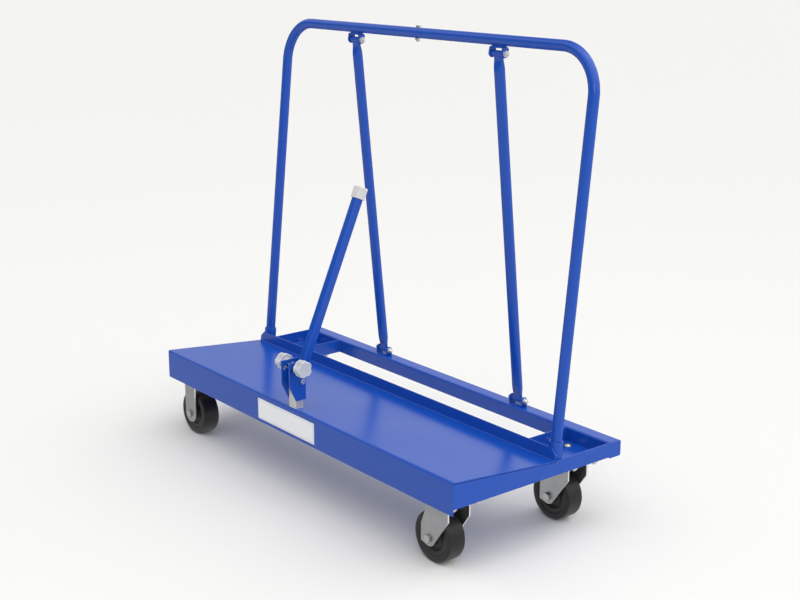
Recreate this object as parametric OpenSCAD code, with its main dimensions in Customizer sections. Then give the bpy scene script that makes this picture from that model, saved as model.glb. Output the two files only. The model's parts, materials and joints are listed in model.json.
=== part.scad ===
// Drywall panel cart: a low sloping deck on four casters, a leaning round-tube back frame held by two
// braces, and a clamp arm at the middle of the front edge. X runs along the deck, +Y points to the back
// frame and +Z up. The origin is on the ground under the middle of the cart.

/* [Deck] */
// Length of the deck along X
deck_len = 1250; // [1240:5:1400]
// Depth from the front skirt to the back of the rear rail
deck_dep = 545; // [520:5:600]
// Height of the front edge of the deck above the ground
deck_front_z = 241; // [238:1:250]
// Fall of the deck from its front edge to its back fold
deck_drop = 28; // [24:1:30]
// Distance from the front skirt to the back fold
fold_y = 316.5; // [310:0.5:320]
// Height of the front skirt
skirt_h = 80; // [70:1:90]
// Height of the upstand behind the deck
upstand_h = 28.5; // [26:0.5:32]
// Chamfer at both ends of the upstand
upstand_chamfer = 15; // [8:1:20]
// Thickness of the folded deck sheet and the side plates
sheet = 3; // [2:0.5:3]
// Lower edge of the side plates above the ground
side_bottom_z = 176; // [175:0.5:177]
// Level of the side plates and cross members behind the upstand
side_top_z = 213; // [212:0.5:214]
// Distance of the cross members from the middle
cross_x = 478; // [470:1:485]
// Distance of the two ribs under the deck from the middle
rib_x = 165; // [120:5:220]
// Thickness of the floor plates that carry the casters
floor_t = 4; // [4:0.5:5]
// Top of the floor plates above the ground
floor_z = 178; // [178:0.5:179]

/* [Rear rail] */
// Side of the square rail tube
rail_size = 40; // [36:1:42]
// Wall of the rail tube
rail_wall = 3; // [2:0.5:4]
// Top of the rail above the ground
rail_top_z = 212; // [211:0.5:213]

/* [Back frame] */
// Lean of the frame and the upstand from the vertical, in degrees
lean = 5.7; // [5:0.1:6.5]
// Outer diameter of the frame and brace tubes
tube_d = 26.9; // [25:0.1:28]
// Wall of the frame and brace tubes
tube_wall = 2.6; // [2:0.1:3]
// Distance of the posts from the middle
post_x = 604.5; // [600:0.5:604.5]
// Height of the top tube's centre above the ground
frame_top_z = 1157.7; // [1000:1:1300]
// Radius of the corner bends, on the tube's centre line
bend_r = 108; // [80:1:140]
// Outer diameter of the sockets that hold the posts
socket_d = 33.7; // [33.5:0.1:33.9]
// Top of the sockets above the ground
socket_top_z = 252; // [248:1:300]
// Distance of the joint bolt from the middle of the top tube
joint_x = 23; // [15:1:30]
// Half the length of the spigot inside the top tube's joint
spigot_half = 45; // [40:1:60]

/* [Braces] */
// Distance of the braces from the middle
brace_x = 283; // [220:1:320]
// Drop from the top tube's centre to the upper pivot
brace_top_drop = 32; // [31:0.5:34]
// Rise from the rail's top to the lower pivot
brace_foot_rise = 15.5; // [15:0.5:18]
// Half the gap between the two ears of a bracket
ear_gap = 20; // [18:0.5:21]
// Thickness of an ear
ear_t = 4; // [3:0.5:5]

/* [Clamp] */
// Half the width of the foot, and of the gap between the cheeks
foot_half = 15; // [14.7:0.1:16]
// Depth of the foot
foot_dep = 27; // [24:1:28]
// Top of the foot above the ground
foot_top_z = 298; // [290:1:299]
// Thickness of a cheek
cheek_t = 4; // [3:0.5:5]
// How far the cheeks reach in front of the skirt
cheek_reach = 15.5; // [15.5:0.5:20]
// Back edge of the cheeks behind the skirt
cheek_back = 34; // [33:0.5:40]
// Top of the cheeks above the ground
cheek_top_z = 363.5; // [363:0.5:370]
// Bottom of the cheeks above the ground
cheek_bottom_z = 262; // [255:1:270]
// Height of the arm's pivot above the ground
pivot_z = 310.5; // [310:0.5:312]
// Distance of the arm's pivot behind the skirt
pivot_y = 23; // [22:0.5:24]
// Radius of the arc slots about the pivot
slot_r = 44; // [43:0.5:45]
// Lean of the arm at rest, in degrees
arm_lean = 23.4; // [20:0.1:25]
// Side of the arm's square tube
arm_w = 22; // [20:1:24]
// Wall of the arm's square tube
arm_wall = 2; // [1.5:0.5:3]
// Length of the arm from its pivot
arm_len = 510; // [400:5:600]
// Length of the cap on the arm
cap_len = 30.5; // [25:0.5:40]
// Diameter of a knob over its lobes
knob_d = 44; // [40:1:50]
// Number of lobes on a knob
knob_lobes = 5; // [4:1:7]

/* [Casters] */
// Diameter of the wheels
wheel_d = 125; // [120:1:125]
// Width of the tyres
tyre_w = 50; // [44:1:52]
// Distance of the caster plates from the middle
caster_x = 555; // [552:1:556]
// Distance of the front caster plates behind the skirt
caster_front_y = 59.5; // [58:0.5:62]
// Distance of the rear caster plates behind the skirt
caster_rear_y = 444; // [435:1:448]
// Trail of the swivel casters
trail = 40; // [35:1:42]
// Thickness of a fork leg
leg_t = 4.5; // [4:0.5:5]

/* [Hidden] */
$fn = 64;

blue = [0.08, 0.25, 0.70];
zinc = [0.68, 0.69, 0.71];
light_grey = [0.84, 0.84, 0.83];
black = [0.09, 0.09, 0.09];
white = [0.93, 0.93, 0.93];

// The overall box is centred on the origin in Y, from the cheeks to the rail.
front_y = -(deck_dep - cheek_reach) / 2;
deck_slope = atan(deck_drop / fold_y);
deck_back_z = deck_front_z - deck_drop;
bend_in = 2;
bend_out = bend_in + sheet;
rail_y = deck_dep - rail_size;
rail_corner = 4.5;
bearer_y = 305;
running = 0.06;
side_clear = 0.3;
bolt_clear = 0.5;

label_left = -153;
label_w = 253;
label_h = 56;
label_rise = 9;
label_t = 0.4;

m8_r = 4;
m8_hex = 13;
m8_head = 5.3;
m8_nut = 6.5;
m10_r = 5;
m10_hex = 17;
m10_head = 6.4;
m10_nut = 8;
m12_r = 6;
m12_hex = 19;
m12_head = 7.5;
m12_nut = 10;
bolt_end = 3;
washer_t = 1.6;
washer_r = 8;
wide_washer_r = 10.5;

// The frame plane is parallel to the upstand and passes through the axes of the sockets.
post_off = sheet + socket_d / 2;
plane_y = fold_y + post_off * cos(lean);
plane_z = deck_back_z - post_off * sin(lean);
frame_h = (frame_top_z - plane_z) / cos(lean);
socket_h = (socket_top_z - plane_z) / cos(lean);
socket_gap = 0.15;
post_foot_h = -27;

brace_top_y = plane_y + (frame_h - brace_top_drop) * sin(lean);
brace_top_z = plane_z + (frame_h - brace_top_drop) * cos(lean);
brace_foot_y = deck_dep - rail_size / 2;
brace_foot_z = rail_top_z + brace_foot_rise;
brace_lean = atan((brace_foot_y - brace_top_y) / (brace_top_z - brace_foot_z));
brace_len = norm([brace_foot_y - brace_top_y, brace_top_z - brace_foot_z]);
bush_r = 7.5;
flat_x = 28;
flat_y = 10;
flat_len = 16;
round_from = 44;
ear_r = 10.5;
ear_out = ear_gap + ear_t;
saddle_gap = 2;
saddle_half = 7;

slot_half = 4.6;
slot_back = 98;
slot_rest = 108;
slot_front = 133;
rod_y_pos = pivot_y + slot_r * cos(slot_rest);
rod_z_pos = pivot_z + slot_r * sin(slot_rest);
cheek_out = foot_half + cheek_t;
cheek_chamfer_y = 4;
cheek_chamfer_z = 302.5;
foot_front = 3;
foot_bolt = 36;
arm_bush_r = 9;
lug_half = 5;
cap_wall = 3;
cap_top = 4;
knob_far = cheek_out + 33;
knob_near = knob_far - 22;
knob_turn = 34;
lobe_round = 2;
groove_r = 20;
groove_depth = 4;
groove_at = knob_d / 2 - groove_depth + groove_r;
knob_boss_r = 11;
boss_near = cheek_out + side_clear + washer_t + side_clear;

axle_z = wheel_d / 2;
dome_h = 6;
dome_half = 12;
dome_r = (dome_half ^ 2 + dome_h ^ 2) / (2 * dome_h);
dome_edge = asin((dome_r - dome_h) / dome_r);
plate_x_half = 54;
plate_y_half = 50;
plate_t = 5;
plate_top = floor_z - floor_t;
plate_bottom = plate_top - plate_t;
hole_dx = 45;
hole_dy = 35;
crown_top = 154;
crown_t = 4.5;
crown_back = -44;
crown_front = 26;
seat_r = 27;
race_r = 31;
race_gap = 6;
leg_in = 30;
leg_out = leg_in + leg_t;
leg_end_r = 19.5;
leg_back = 28;
leg_corner = 13;
strap_half = 26;
kingpin_r = 8;
kingpin_head_r = 13;
kingpin_head = 8;
core_r = 38;
hub_half = leg_in - side_clear;
hub_r = 17;
web_half = 15;
shoulder = 4;
right_wheel_x = caster_x - trail;

function deck_z(y) = deck_front_z - y * tan(deck_slope);
function under_z(y) = deck_z(y) - sheet / cos(deck_slope);
function arc(cy, cz, r, from, to, steps = 8) =
    [for (i = [0:steps]) let (a = from + (to - from) * i / steps) [cy + r * cos(a), cz + r * sin(a)]];
function rounded(w, h, r) = concat(
    arc(w / 2 - r, h / 2 - r, r, 0, 90, 5), arc(r - w / 2, h / 2 - r, r, 90, 180, 5),
    arc(r - w / 2, r - h / 2, r, 180, 270, 5), arc(w / 2 - r, r - h / 2, r, 270, 360, 5));

// Moves a part drawn with Y measured from the front skirt to its place.
module placed() {
    translate([0, front_y, 0]) children();
}

// Extrudes an outline drawn in Y and Z from x0 to x1.
module along_x(x0, x1) {
    translate([x0, 0, 0]) rotate([90, 0, 90]) linear_extrude(x1 - x0) children();
}

module both_sides() {
    children();
    mirror([1, 0, 0]) children();
}

// A round bar along X.
module bar_x(r, x0, x1) {
    translate([x0, 0, 0]) rotate([0, 90, 0]) cylinder(r = r, h = x1 - x0);
}

// A hexagon along X with the given width across flats.
module hex_x(flats, x0, x1) {
    translate([x0, 0, 0]) rotate([0, 90, 0]) cylinder(r = flats / 2 / cos(30), h = x1 - x0, $fn = 6);
}

// A hexagon along Z with the given width across flats.
module hex_z(flats, z0, z1) {
    translate([0, 0, z0]) cylinder(r = flats / 2 / cos(30), h = z1 - z0, $fn = 6);
}

module tube_z(r, wall, z0, z1) {
    difference() {
        translate([0, 0, z0]) cylinder(r = r, h = z1 - z0);
        translate([0, 0, z0 - 1]) cylinder(r = r - wall, h = z1 - z0 + 2);
    }
}

// Local Z runs up the frame plane and local Y is square to it.
module in_frame_plane() {
    translate([0, plane_y, plane_z]) rotate([-lean, 0, 0]) children();
}

module at_brace_foot() {
    translate([0, brace_foot_y, brace_foot_z]) children();
}

module at_pivot() {
    translate([0, pivot_y, pivot_z]) children();
}

module at_rod() {
    translate([0, rod_y_pos, rod_z_pos]) children();
}

// Local Z is square to the deck at the middle of the clamp foot.
module on_deck_at_foot() {
    y = foot_front + foot_dep / 2;
    translate([0, y, deck_z(y)]) rotate([-deck_slope, 0, 0]) children();
}

module at_caster_bolts() {
    for (x = [-caster_x, caster_x])
        for (y = [caster_front_y, caster_rear_y])
            for (dx = [-hole_dx, hole_dx])
                for (dy = [-hole_dy, hole_dy])
                    translate([x + dx, y + dy, 0]) children();
}

// ---- deck and chassis ----

module deck_pan() {
    front_c = [bend_out, deck_front_z - bend_out * tan(deck_slope) - bend_out / cos(deck_slope)];
    turn = cos(deck_slope - lean);
    back_c = [fold_y + bend_in * (sin(lean) - cos(deck_slope)) / turn,
        deck_back_z + bend_in * (sin(deck_slope) + cos(lean)) / turn];
    top_front = [fold_y + upstand_h * sin(lean), deck_back_z + upstand_h * cos(lean)];
    top_back = top_front + sheet * [cos(lean), -sin(lean)];
    bottom = deck_front_z - skirt_h;
    outline = concat([[0, bottom]],
        arc(front_c[0], front_c[1], bend_out, 180, 90 - deck_slope),
        arc(back_c[0], back_c[1], bend_in, 270 - deck_slope, 360 - lean),
        [top_front, top_back],
        arc(back_c[0], back_c[1], bend_out, 360 - lean, 270 - deck_slope),
        arc(front_c[0], front_c[1], bend_in, 90 - deck_slope, 180),
        [[sheet, bottom]]);
    color(blue) placed() difference() {
        along_x(-deck_len / 2, deck_len / 2) polygon(outline);
        for (side = [-1, 1])
            translate([side * deck_len / 2, top_front[0], top_front[1]]) rotate([0, 45, 0])
                cube([upstand_chamfer * sqrt(2), 12 * sheet, upstand_chamfer * sqrt(2)], center = true);
        on_deck_at_foot() translate([0, 0, -2 * sheet]) cylinder(r = m10_r + bolt_clear, h = 4 * sheet);
    }
}

// A plate in the YZ plane that follows the underside of the deck and stands up again behind it.
module long_plate(x0, x1, bottom, top) {
    step_y = fold_y + sheet + 1;
    along_x(x0, x1) polygon([[sheet, bottom], [rail_y, bottom], [rail_y, top], [step_y, top],
        [step_y, under_z(step_y)], [2 * sheet, under_z(2 * sheet)], [sheet, under_z(sheet) - sheet]]);
}

module side_plate() {
    color(blue) placed() long_plate(deck_len / 2 - sheet, deck_len / 2, side_bottom_z, side_top_z);
}

module cross_member() {
    color(blue) placed()
        long_plate(cross_x - sheet / 2, cross_x + sheet / 2, plate_top, rail_top_z);
}

module rear_rail() {
    half = deck_len / 2 - sheet;
    inner = rail_size - 2 * rail_wall;
    color(blue) placed() translate([0, rail_y + rail_size / 2, rail_top_z - rail_size / 2]) difference() {
        along_x(-half, half) polygon(rounded(rail_size, rail_size, rail_corner));
        along_x(-half - 1, half + 1) polygon(rounded(inner, inner, rail_corner - rail_wall));
    }
}

module rail_end_caps() {
    color(blue) placed() both_sides()
        translate([0, rail_y + rail_size / 2, rail_top_z - rail_size / 2])
            along_x(deck_len / 2 - sheet, deck_len / 2) polygon(rounded(rail_size, rail_size, rail_corner));
}

module deck_ribs() {
    color(blue) placed() both_sides() along_x(rib_x - sheet / 2, rib_x + sheet / 2)
        polygon([[sheet, floor_z], [bearer_y, floor_z], [bearer_y, under_z(bearer_y)],
            [2 * sheet, under_z(2 * sheet)], [sheet, under_z(sheet) - sheet]]);
}

module rear_bearer() {
    back = bearer_y + sheet;
    half = cross_x - sheet / 2;
    color(blue) placed() along_x(-half, half)
        polygon([[bearer_y, floor_z], [back, floor_z], [back, under_z(back)], [bearer_y, under_z(bearer_y)]]);
}

module caster_floor(side) {
    inner = cross_x + sheet / 2;
    outer = deck_len / 2 - sheet;
    color(blue) placed() difference() {
        translate([side > 0 ? inner : -outer, sheet, plate_top])
            cube([outer - inner, rail_y - sheet, floor_t]);
        at_caster_bolts() translate([0, 0, plate_top - 1]) cylinder(r = m10_r + bolt_clear, h = floor_t + 2);
    }
}

module skirt_label() {
    color(white) placed() translate([label_left, -label_t, deck_front_z - skirt_h + label_rise])
        cube([label_w, label_t, label_h]);
}

// ---- back frame ----

module post_socket() {
    color(blue) placed() difference() {
        in_frame_plane() translate([post_x, 0, 0])
            tube_z(socket_d / 2, socket_d / 2 - tube_d / 2 - socket_gap, 2 * post_foot_h, socket_h);
        translate([post_x - socket_d, plane_y - 2 * socket_d, 0])
            cube([2 * socket_d, 4 * socket_d, floor_z]);
    }
}

// The right half of the inverted U, from the foot in its socket to the joint in the middle.
module frame_half() {
    bend_x = post_x - bend_r;
    bend_h = frame_h - bend_r;
    r = tube_d / 2;
    translate([post_x, 0, 0]) tube_z(r, tube_wall, post_foot_h, bend_h);
    translate([bend_x, 0, bend_h]) rotate([90, 0, 0]) rotate_extrude(angle = 90) difference() {
        translate([bend_r, 0]) circle(r = r);
        translate([bend_r, 0]) circle(r = r - tube_wall);
    }
    translate([0, 0, frame_h]) rotate([0, 90, 0]) tube_z(r, tube_wall, 0, bend_x);
}

module frame_tube_right() {
    color(blue) placed() in_frame_plane() frame_half();
}

module frame_tube_left() {
    color(blue) placed() in_frame_plane() difference() {
        mirror([1, 0, 0]) frame_half();
        translate([-joint_x, 0, frame_h - tube_d]) cylinder(r = m8_r + 0.3, h = 2 * tube_d);
    }
}

module frame_spigot() {
    r = tube_d / 2 - tube_wall - 0.05;
    color(zinc) placed() in_frame_plane() translate([0, 0, frame_h]) difference() {
        bar_x(r, -spigot_half, spigot_half);
        bar_x(r - 3, -spigot_half - 1, spigot_half + 1);
        translate([-joint_x, 0, -r - 1]) cylinder(r = m8_r + 0.3, h = 2 * r + 2);
    }
}

module frame_joint_bolt() {
    r = tube_d / 2;
    color(zinc) placed() in_frame_plane() translate([-joint_x, 0, frame_h]) {
        hex_z(m8_hex, r, r + m8_head);
        translate([0, 0, -r - m8_nut - bolt_end]) cylinder(r = m8_r, h = 2 * r + m8_nut + bolt_end);
    }
}

module frame_joint_nut() {
    r = tube_d / 2;
    color(zinc) placed() in_frame_plane() translate([-joint_x, 0, frame_h]) difference() {
        hex_z(m8_hex, -r - m8_nut, -r);
        translate([0, 0, -r - m8_nut - 1]) cylinder(r = m8_r, h = m8_nut + 2);
    }
}

// ---- braces ----

// Outline of an ear, from its base edge to a round end about the pivot.
function ear_outline(base, up) = concat([[-ear_r, base]], [[ear_r, base]],
    up ? arc(0, 0, ear_r, 0, 180, 14) : arc(0, 0, ear_r, 360, 180, 14));

module ears(base, up) {
    for (x = [-ear_out, ear_gap])
        difference() {
            along_x(x, x + ear_t) polygon(ear_outline(base, up));
            bar_x(m8_r + 0.25, x - 1, x + ear_t + 1);
        }
}

// Hangs from the tube on a narrow saddle.
module top_bracket() {
    top = brace_top_drop - tube_d / 2 - saddle_gap;
    color(blue) placed() in_frame_plane() translate([brace_x, 0, frame_h - brace_top_drop]) {
        ears(top, false);
        translate([-ear_gap, -ear_r, top - ear_t]) cube([2 * ear_gap, 2 * ear_r, ear_t]);
        difference() {
            translate([-ear_gap, -saddle_half, top - 1]) cube([2 * ear_gap, 2 * saddle_half, saddle_half]);
            translate([0, 0, brace_top_drop]) bar_x(tube_d / 2, -ear_out, ear_out);
        }
    }
}

module bottom_bracket() {
    color(blue) placed() at_brace_foot() translate([brace_x, 0, 0]) {
        ears(-brace_foot_rise, true);
        translate([-ear_gap, -ear_r, -brace_foot_rise]) cube([2 * ear_gap, 2 * ear_r, ear_t]);
    }
}

// One end of a brace: the flattened tube and the cross bush on its pivot.
module brace_end() {
    hull() {
        translate([-flat_x / 2, -flat_y / 2, flat_len]) cube([flat_x, flat_y, 1]);
        translate([0, 0, round_from]) cylinder(r = tube_d / 2, h = 1, $fn = 32);
    }
    translate([-flat_x / 2, -flat_y / 2, 0]) cube([flat_x, flat_y, flat_len + 0.5]);
    bar_x(bush_r, side_clear - ear_gap, ear_gap - side_clear);
}

module brace() {
    color(blue) placed() at_brace_foot() translate([brace_x, 0, 0]) rotate([brace_lean, 0, 0])
        difference() {
            union() {
                brace_end();
                tube_z(tube_d / 2, tube_wall, round_from + 0.5, brace_len - round_from - 0.5);
                translate([0, 0, brace_len]) mirror([0, 0, 1]) brace_end();
            }
            bar_x(m8_r + 0.25, -ear_gap, ear_gap);
            translate([0, 0, brace_len]) bar_x(m8_r + 0.25, -ear_gap, ear_gap);
        }
}

module at_brace_pivots() {
    for (x = [-brace_x, brace_x]) {
        at_brace_foot() translate([x, 0, 0]) children();
        in_frame_plane() translate([x, 0, frame_h - brace_top_drop]) children();
    }
}

module brace_bolts() {
    head = -ear_out - washer_t;
    color(zinc) placed() at_brace_pivots() {
        hex_x(m8_hex, head - m8_head, head);
        bar_x(m8_r, head, ear_out + washer_t + m8_nut + bolt_end);
    }
}

module brace_washers() {
    color(zinc) placed() at_brace_pivots() for (x = [-ear_out - washer_t, ear_out])
        difference() {
            bar_x(washer_r, x, x + washer_t);
            bar_x(m8_r + 0.1, x - 1, x + washer_t + 1);
        }
}

module brace_nuts() {
    near = ear_out + washer_t;
    color(zinc) placed() at_brace_pivots() difference() {
        hex_x(m8_hex, near, near + m8_nut);
        bar_x(m8_r, near - 1, near + m8_nut + 1);
    }
}

// ---- clamp ----

module clamp_foot() {
    back = foot_front + foot_dep;
    color(light_grey) placed() difference() {
        along_x(-foot_half, foot_half) polygon([[foot_front, deck_z(foot_front)], [back, deck_z(back)],
            [back, foot_top_z], [foot_front, foot_top_z]]);
        on_deck_at_foot() translate([0, 0, -1]) cylinder(r = m10_r + 0.1, h = foot_bolt);
    }
}

module clamp_foot_bolt() {
    under = -sheet;
    color(zinc) placed() on_deck_at_foot() {
        hex_z(m10_hex, under - m10_head, under);
        translate([0, 0, under - 1]) cylinder(r = m10_r, h = foot_bolt);
    }
}

// Outline of an arc slot about the pivot, as wide as the rod and its clearance.
function slot_outline() = let (
        front_end = slot_r * [cos(slot_front), sin(slot_front)],
        back_end = slot_r * [cos(slot_back), sin(slot_back)])
    concat(arc(0, 0, slot_r + slot_half, slot_back, slot_front, 10),
        arc(front_end[0], front_end[1], slot_half, slot_front, slot_front + 180, 10),
        arc(0, 0, slot_r - slot_half, slot_front, slot_back, 10),
        arc(back_end[0], back_end[1], slot_half, slot_back + 180, slot_back + 360, 10));

module clamp_cheek() {
    color(blue) placed() difference() {
        along_x(foot_half, cheek_out) polygon([[-cheek_reach, cheek_chamfer_z],
            [-cheek_reach, cheek_top_z], [cheek_back, cheek_top_z], [cheek_back, cheek_bottom_z],
            [cheek_chamfer_y, cheek_bottom_z]]);
        at_pivot() {
            along_x(foot_half - 1, cheek_out + 1) polygon(slot_outline());
            bar_x(m8_r + 0.25, foot_half - 1, cheek_out + 1);
        }
    }
}

module clamp_pivot_bolt() {
    color(zinc) placed() at_pivot() {
        hex_x(m8_hex, cheek_out, cheek_out + m8_head);
        bar_x(m8_r, -cheek_out - m8_nut - bolt_end, cheek_out);
    }
}

module clamp_pivot_nut() {
    color(zinc) placed() at_pivot() difference() {
        hex_x(m8_hex, -cheek_out - m8_nut, -cheek_out);
        bar_x(m8_r, -cheek_out - m8_nut - 1, 0);
    }
}

module square_tube(w, wall, z0, z1) {
    difference() {
        translate([-w / 2, -w / 2, z0]) cube([w, w, z1 - z0]);
        translate([wall - w / 2, wall - w / 2, z0 - 1]) cube([w - 2 * wall, w - 2 * wall, z1 - z0 + 2]);
    }
}

// The arm's square tube with its pivot bush and the lug that holds the rod.
module clamp_arm() {
    half = foot_half - side_clear;
    rod_dir = slot_rest + arm_lean - 90;
    rod_forward = slot_r * sin(rod_dir);
    rod_up = slot_r * cos(rod_dir);
    color(blue) placed() at_pivot() rotate([-arm_lean, 0, 0]) difference() {
        union() {
            square_tube(arm_w, arm_wall, 4, arm_len);
            bar_x(arm_bush_r, -half, half);
            translate([0, -rod_forward, rod_up]) bar_x(arm_bush_r, -lug_half, lug_half);
            translate([-lug_half, -rod_forward, rod_up - arm_bush_r])
                cube([2 * lug_half, rod_forward - arm_w / 2 + 1, 2 * arm_bush_r]);
        }
        bar_x(m8_r + running, -half - 1, half + 1);
        translate([0, -rod_forward, rod_up]) bar_x(m8_r + 0.1, -half - 1, half + 1);
    }
}

module arm_cap() {
    w = arm_w + 2 * cap_wall;
    color(light_grey) placed() at_pivot() rotate([-arm_lean, 0, 0]) difference() {
        translate([-w / 2, -w / 2, arm_len + cap_top - cap_len]) cube([w, w, cap_len]);
        translate([-arm_w / 2, -arm_w / 2, arm_len - cap_len]) cube([arm_w, arm_w, cap_len]);
    }
}

module clamp_rod() {
    color(zinc) placed() at_rod() bar_x(m8_r, -knob_far + 4, knob_far - 4);
}

module rod_washers() {
    color(zinc) placed() at_rod() both_sides() difference() {
        bar_x(wide_washer_r, cheek_out + side_clear, cheek_out + side_clear + washer_t);
        bar_x(m8_r + 0.1, cheek_out, cheek_out + washer_t + 1);
    }
}

// Outline of a star knob with wide shallow grooves between its lobes.
module knob_outline() {
    offset(r = lobe_round) offset(delta = -lobe_round) difference() {
        circle(r = knob_d / 2);
        for (i = [0:knob_lobes - 1])
            rotate(knob_turn + (i + 0.5) * 360 / knob_lobes) translate([groove_at, 0]) circle(r = groove_r);
    }
}

module knob() {
    color(light_grey) placed() at_rod() difference() {
        union() {
            along_x(knob_near, knob_far) knob_outline();
            bar_x(knob_boss_r, boss_near, knob_near + 1);
        }
        bar_x(m8_r + running, boss_near - 1, knob_far - 3.5);
    }
}

// ---- casters ----

module caster_bolts() {
    color(zinc) placed() at_caster_bolts() {
        translate([0, 0, plate_bottom - m10_nut - bolt_end])
            cylinder(r = m10_r, h = floor_z - plate_bottom + m10_nut + bolt_end);
        translate([0, 0, floor_z]) rotate_extrude()
            polygon(concat([[0, 0]], arc(0, dome_h - dome_r, dome_r, dome_edge, 90, 8)));
    }
}

module caster_nuts() {
    color(zinc) placed() at_caster_bolts() difference() {
        hex_z(m10_hex, plate_bottom - m10_nut, plate_bottom);
        translate([0, 0, plate_bottom - m10_nut - 1]) cylinder(r = m10_r, h = m10_nut + 2);
    }
}

module caster_plate() {
    difference() {
        translate([-plate_x_half, -plate_y_half, plate_bottom])
            cube([2 * plate_x_half, 2 * plate_y_half, plate_t]);
        for (dx = [-hole_dx, hole_dx])
            for (dy = [-hole_dy, hole_dy])
                translate([dx, dy, plate_bottom - 1]) cylinder(r = m10_r + bolt_clear, h = plate_t + 2);
    }
}

// Swivel top plate with the raised bearing seat under it.
module top_plate(y) {
    color(zinc) placed() translate([caster_x, y, 0]) difference() {
        union() {
            caster_plate();
            translate([0, 0, crown_top + side_clear]) cylinder(r = seat_r, h = plate_bottom - crown_top);
            translate([0, 0, crown_top + race_gap])
                cylinder(r = race_r, h = plate_bottom - crown_top - race_gap);
        }
        translate([0, 0, crown_top - 1]) cylinder(r = kingpin_r + 0.05, h = 40);
    }
}

module kingpins() {
    under = crown_top - crown_t - side_clear;
    color(zinc) placed() for (y = [caster_front_y, caster_rear_y]) translate([caster_x, y, 0]) {
        translate([0, 0, under - 1]) cylinder(r = kingpin_r, h = plate_top - under + 1);
        translate([0, 0, under - kingpin_head]) cylinder(r = kingpin_head_r, h = kingpin_head);
    }
}

// Leg of the swivel fork: round under the axle, with a corner behind it, raked up to the crown.
function leg_outline() = let (
        rake_z = 122,
        waist_z = 92,
        reach = norm([crown_front + trail, rake_z - axle_z]),
        touch = atan2(rake_z - axle_z, crown_front + trail) - acos(leg_end_r / reach),
        corner = atan2(-leg_corner, -leg_back) + acos(leg_end_r / norm([leg_back, leg_corner])))
    concat([[-trail - leg_back, waist_z], [crown_back, crown_top], [crown_front, crown_top],
        [crown_front, rake_z]],
        arc(-trail, axle_z, leg_end_r, touch, corner, 12),
        [[-trail - leg_back, axle_z - leg_corner]]);

module axle_hole() {
    translate([0, leg_out + 1, 0]) rotate([90, 0, 0]) cylinder(r = m12_r + 0.1, h = 2 * leg_out + 2);
}

module swivel_fork(y) {
    color(zinc) placed() translate([caster_x, y, 0]) difference() {
        union() {
            for (dy = [-leg_in, leg_out])
                translate([0, dy, 0]) rotate([90, 0, 0]) linear_extrude(leg_t) polygon(leg_outline());
            translate([crown_back, -leg_in - 1, crown_top - crown_t])
                cube([crown_front - crown_back, 2 * leg_in + 2, crown_t]);
        }
        translate([0, 0, crown_top - 10]) cylinder(r = kingpin_r + running, h = 20);
        translate([-trail, 0, axle_z]) axle_hole();
    }
}

// Bolt with its head in front of the fork, and its nut behind, about an axle along Y.
module axle() {
    rotate([90, 0, 0]) {
        translate([0, 0, -leg_out - m12_nut - bolt_end])
            cylinder(r = m12_r, h = 2 * leg_out + m12_nut + bolt_end);
        hex_z(m12_hex, leg_out, leg_out + m12_head);
        difference() {
            hex_z(m12_hex, -leg_out - m12_nut, -leg_out);
            translate([0, 0, -leg_out - m12_nut - 1]) cylinder(r = m12_r + 0.02, h = m12_nut + 2);
        }
    }
}

module swivel_axle(y) {
    color(zinc) placed() translate([caster_x - trail, y, axle_z]) axle();
}

module fixed_axles() {
    color(zinc) placed() for (y = [caster_front_y, caster_rear_y])
        translate([-caster_x, y, axle_z]) axle();
}

// Fixed caster: two straight legs with round ends under a bolted plate.
module fixed_fork(y) {
    leg = concat([[-strap_half, plate_bottom + 1], [strap_half, plate_bottom + 1]],
        arc(0, axle_z, strap_half, 0, -180, 16));
    color(zinc) placed() translate([-caster_x, y, 0]) difference() {
        union() {
            caster_plate();
            for (dy = [-leg_in, leg_out])
                translate([0, dy, 0]) rotate([90, 0, 0]) linear_extrude(leg_t) polygon(leg);
        }
        translate([0, 0, axle_z]) axle_hole();
    }
}

// Section of the tyre: tread, round shoulders and two raised rings on each sidewall.
function tyre_half() = let (r = wheel_d / 2, h = tyre_w / 2)
    concat([[core_r, 0], [r, 0]], arc(r - shoulder, h - shoulder, shoulder, 0, 70, 7),
        [[r - 10, h - 1.5], [r - 11, h - 0.2], [r - 14, h - 0.2], [r - 15, h - 2.2],
        [core_r + 4, h - 2.2], [core_r + 3, h - 0.5], [core_r, h - 0.5]]);

module tyre(x, y) {
    color(black) placed() translate([x, y, axle_z]) rotate([90, 0, 0]) both_faces()
        rotate_extrude() polygon(tyre_half());
}

module both_faces() {
    children();
    mirror([0, 0, 1]) children();
}

// Core of the wheel: rim, web and a long hub that turns on the axle.
module wheel_core(x, y) {
    rim = tyre_w / 2 - 2;
    color(black) placed() translate([x, y, axle_z]) rotate([90, 0, 0]) difference() {
        both_faces() rotate_extrude() polygon([[0, 0], [core_r, 0], [core_r, rim], [core_r - 4, rim],
            [core_r - 6, web_half], [hub_r + 3, web_half], [hub_r, hub_half - 2], [hub_r, hub_half],
            [0, hub_half]]);
        translate([0, 0, -hub_half - 1]) cylinder(r = m12_r + running, h = 2 * hub_half + 2);
    }
}

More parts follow.
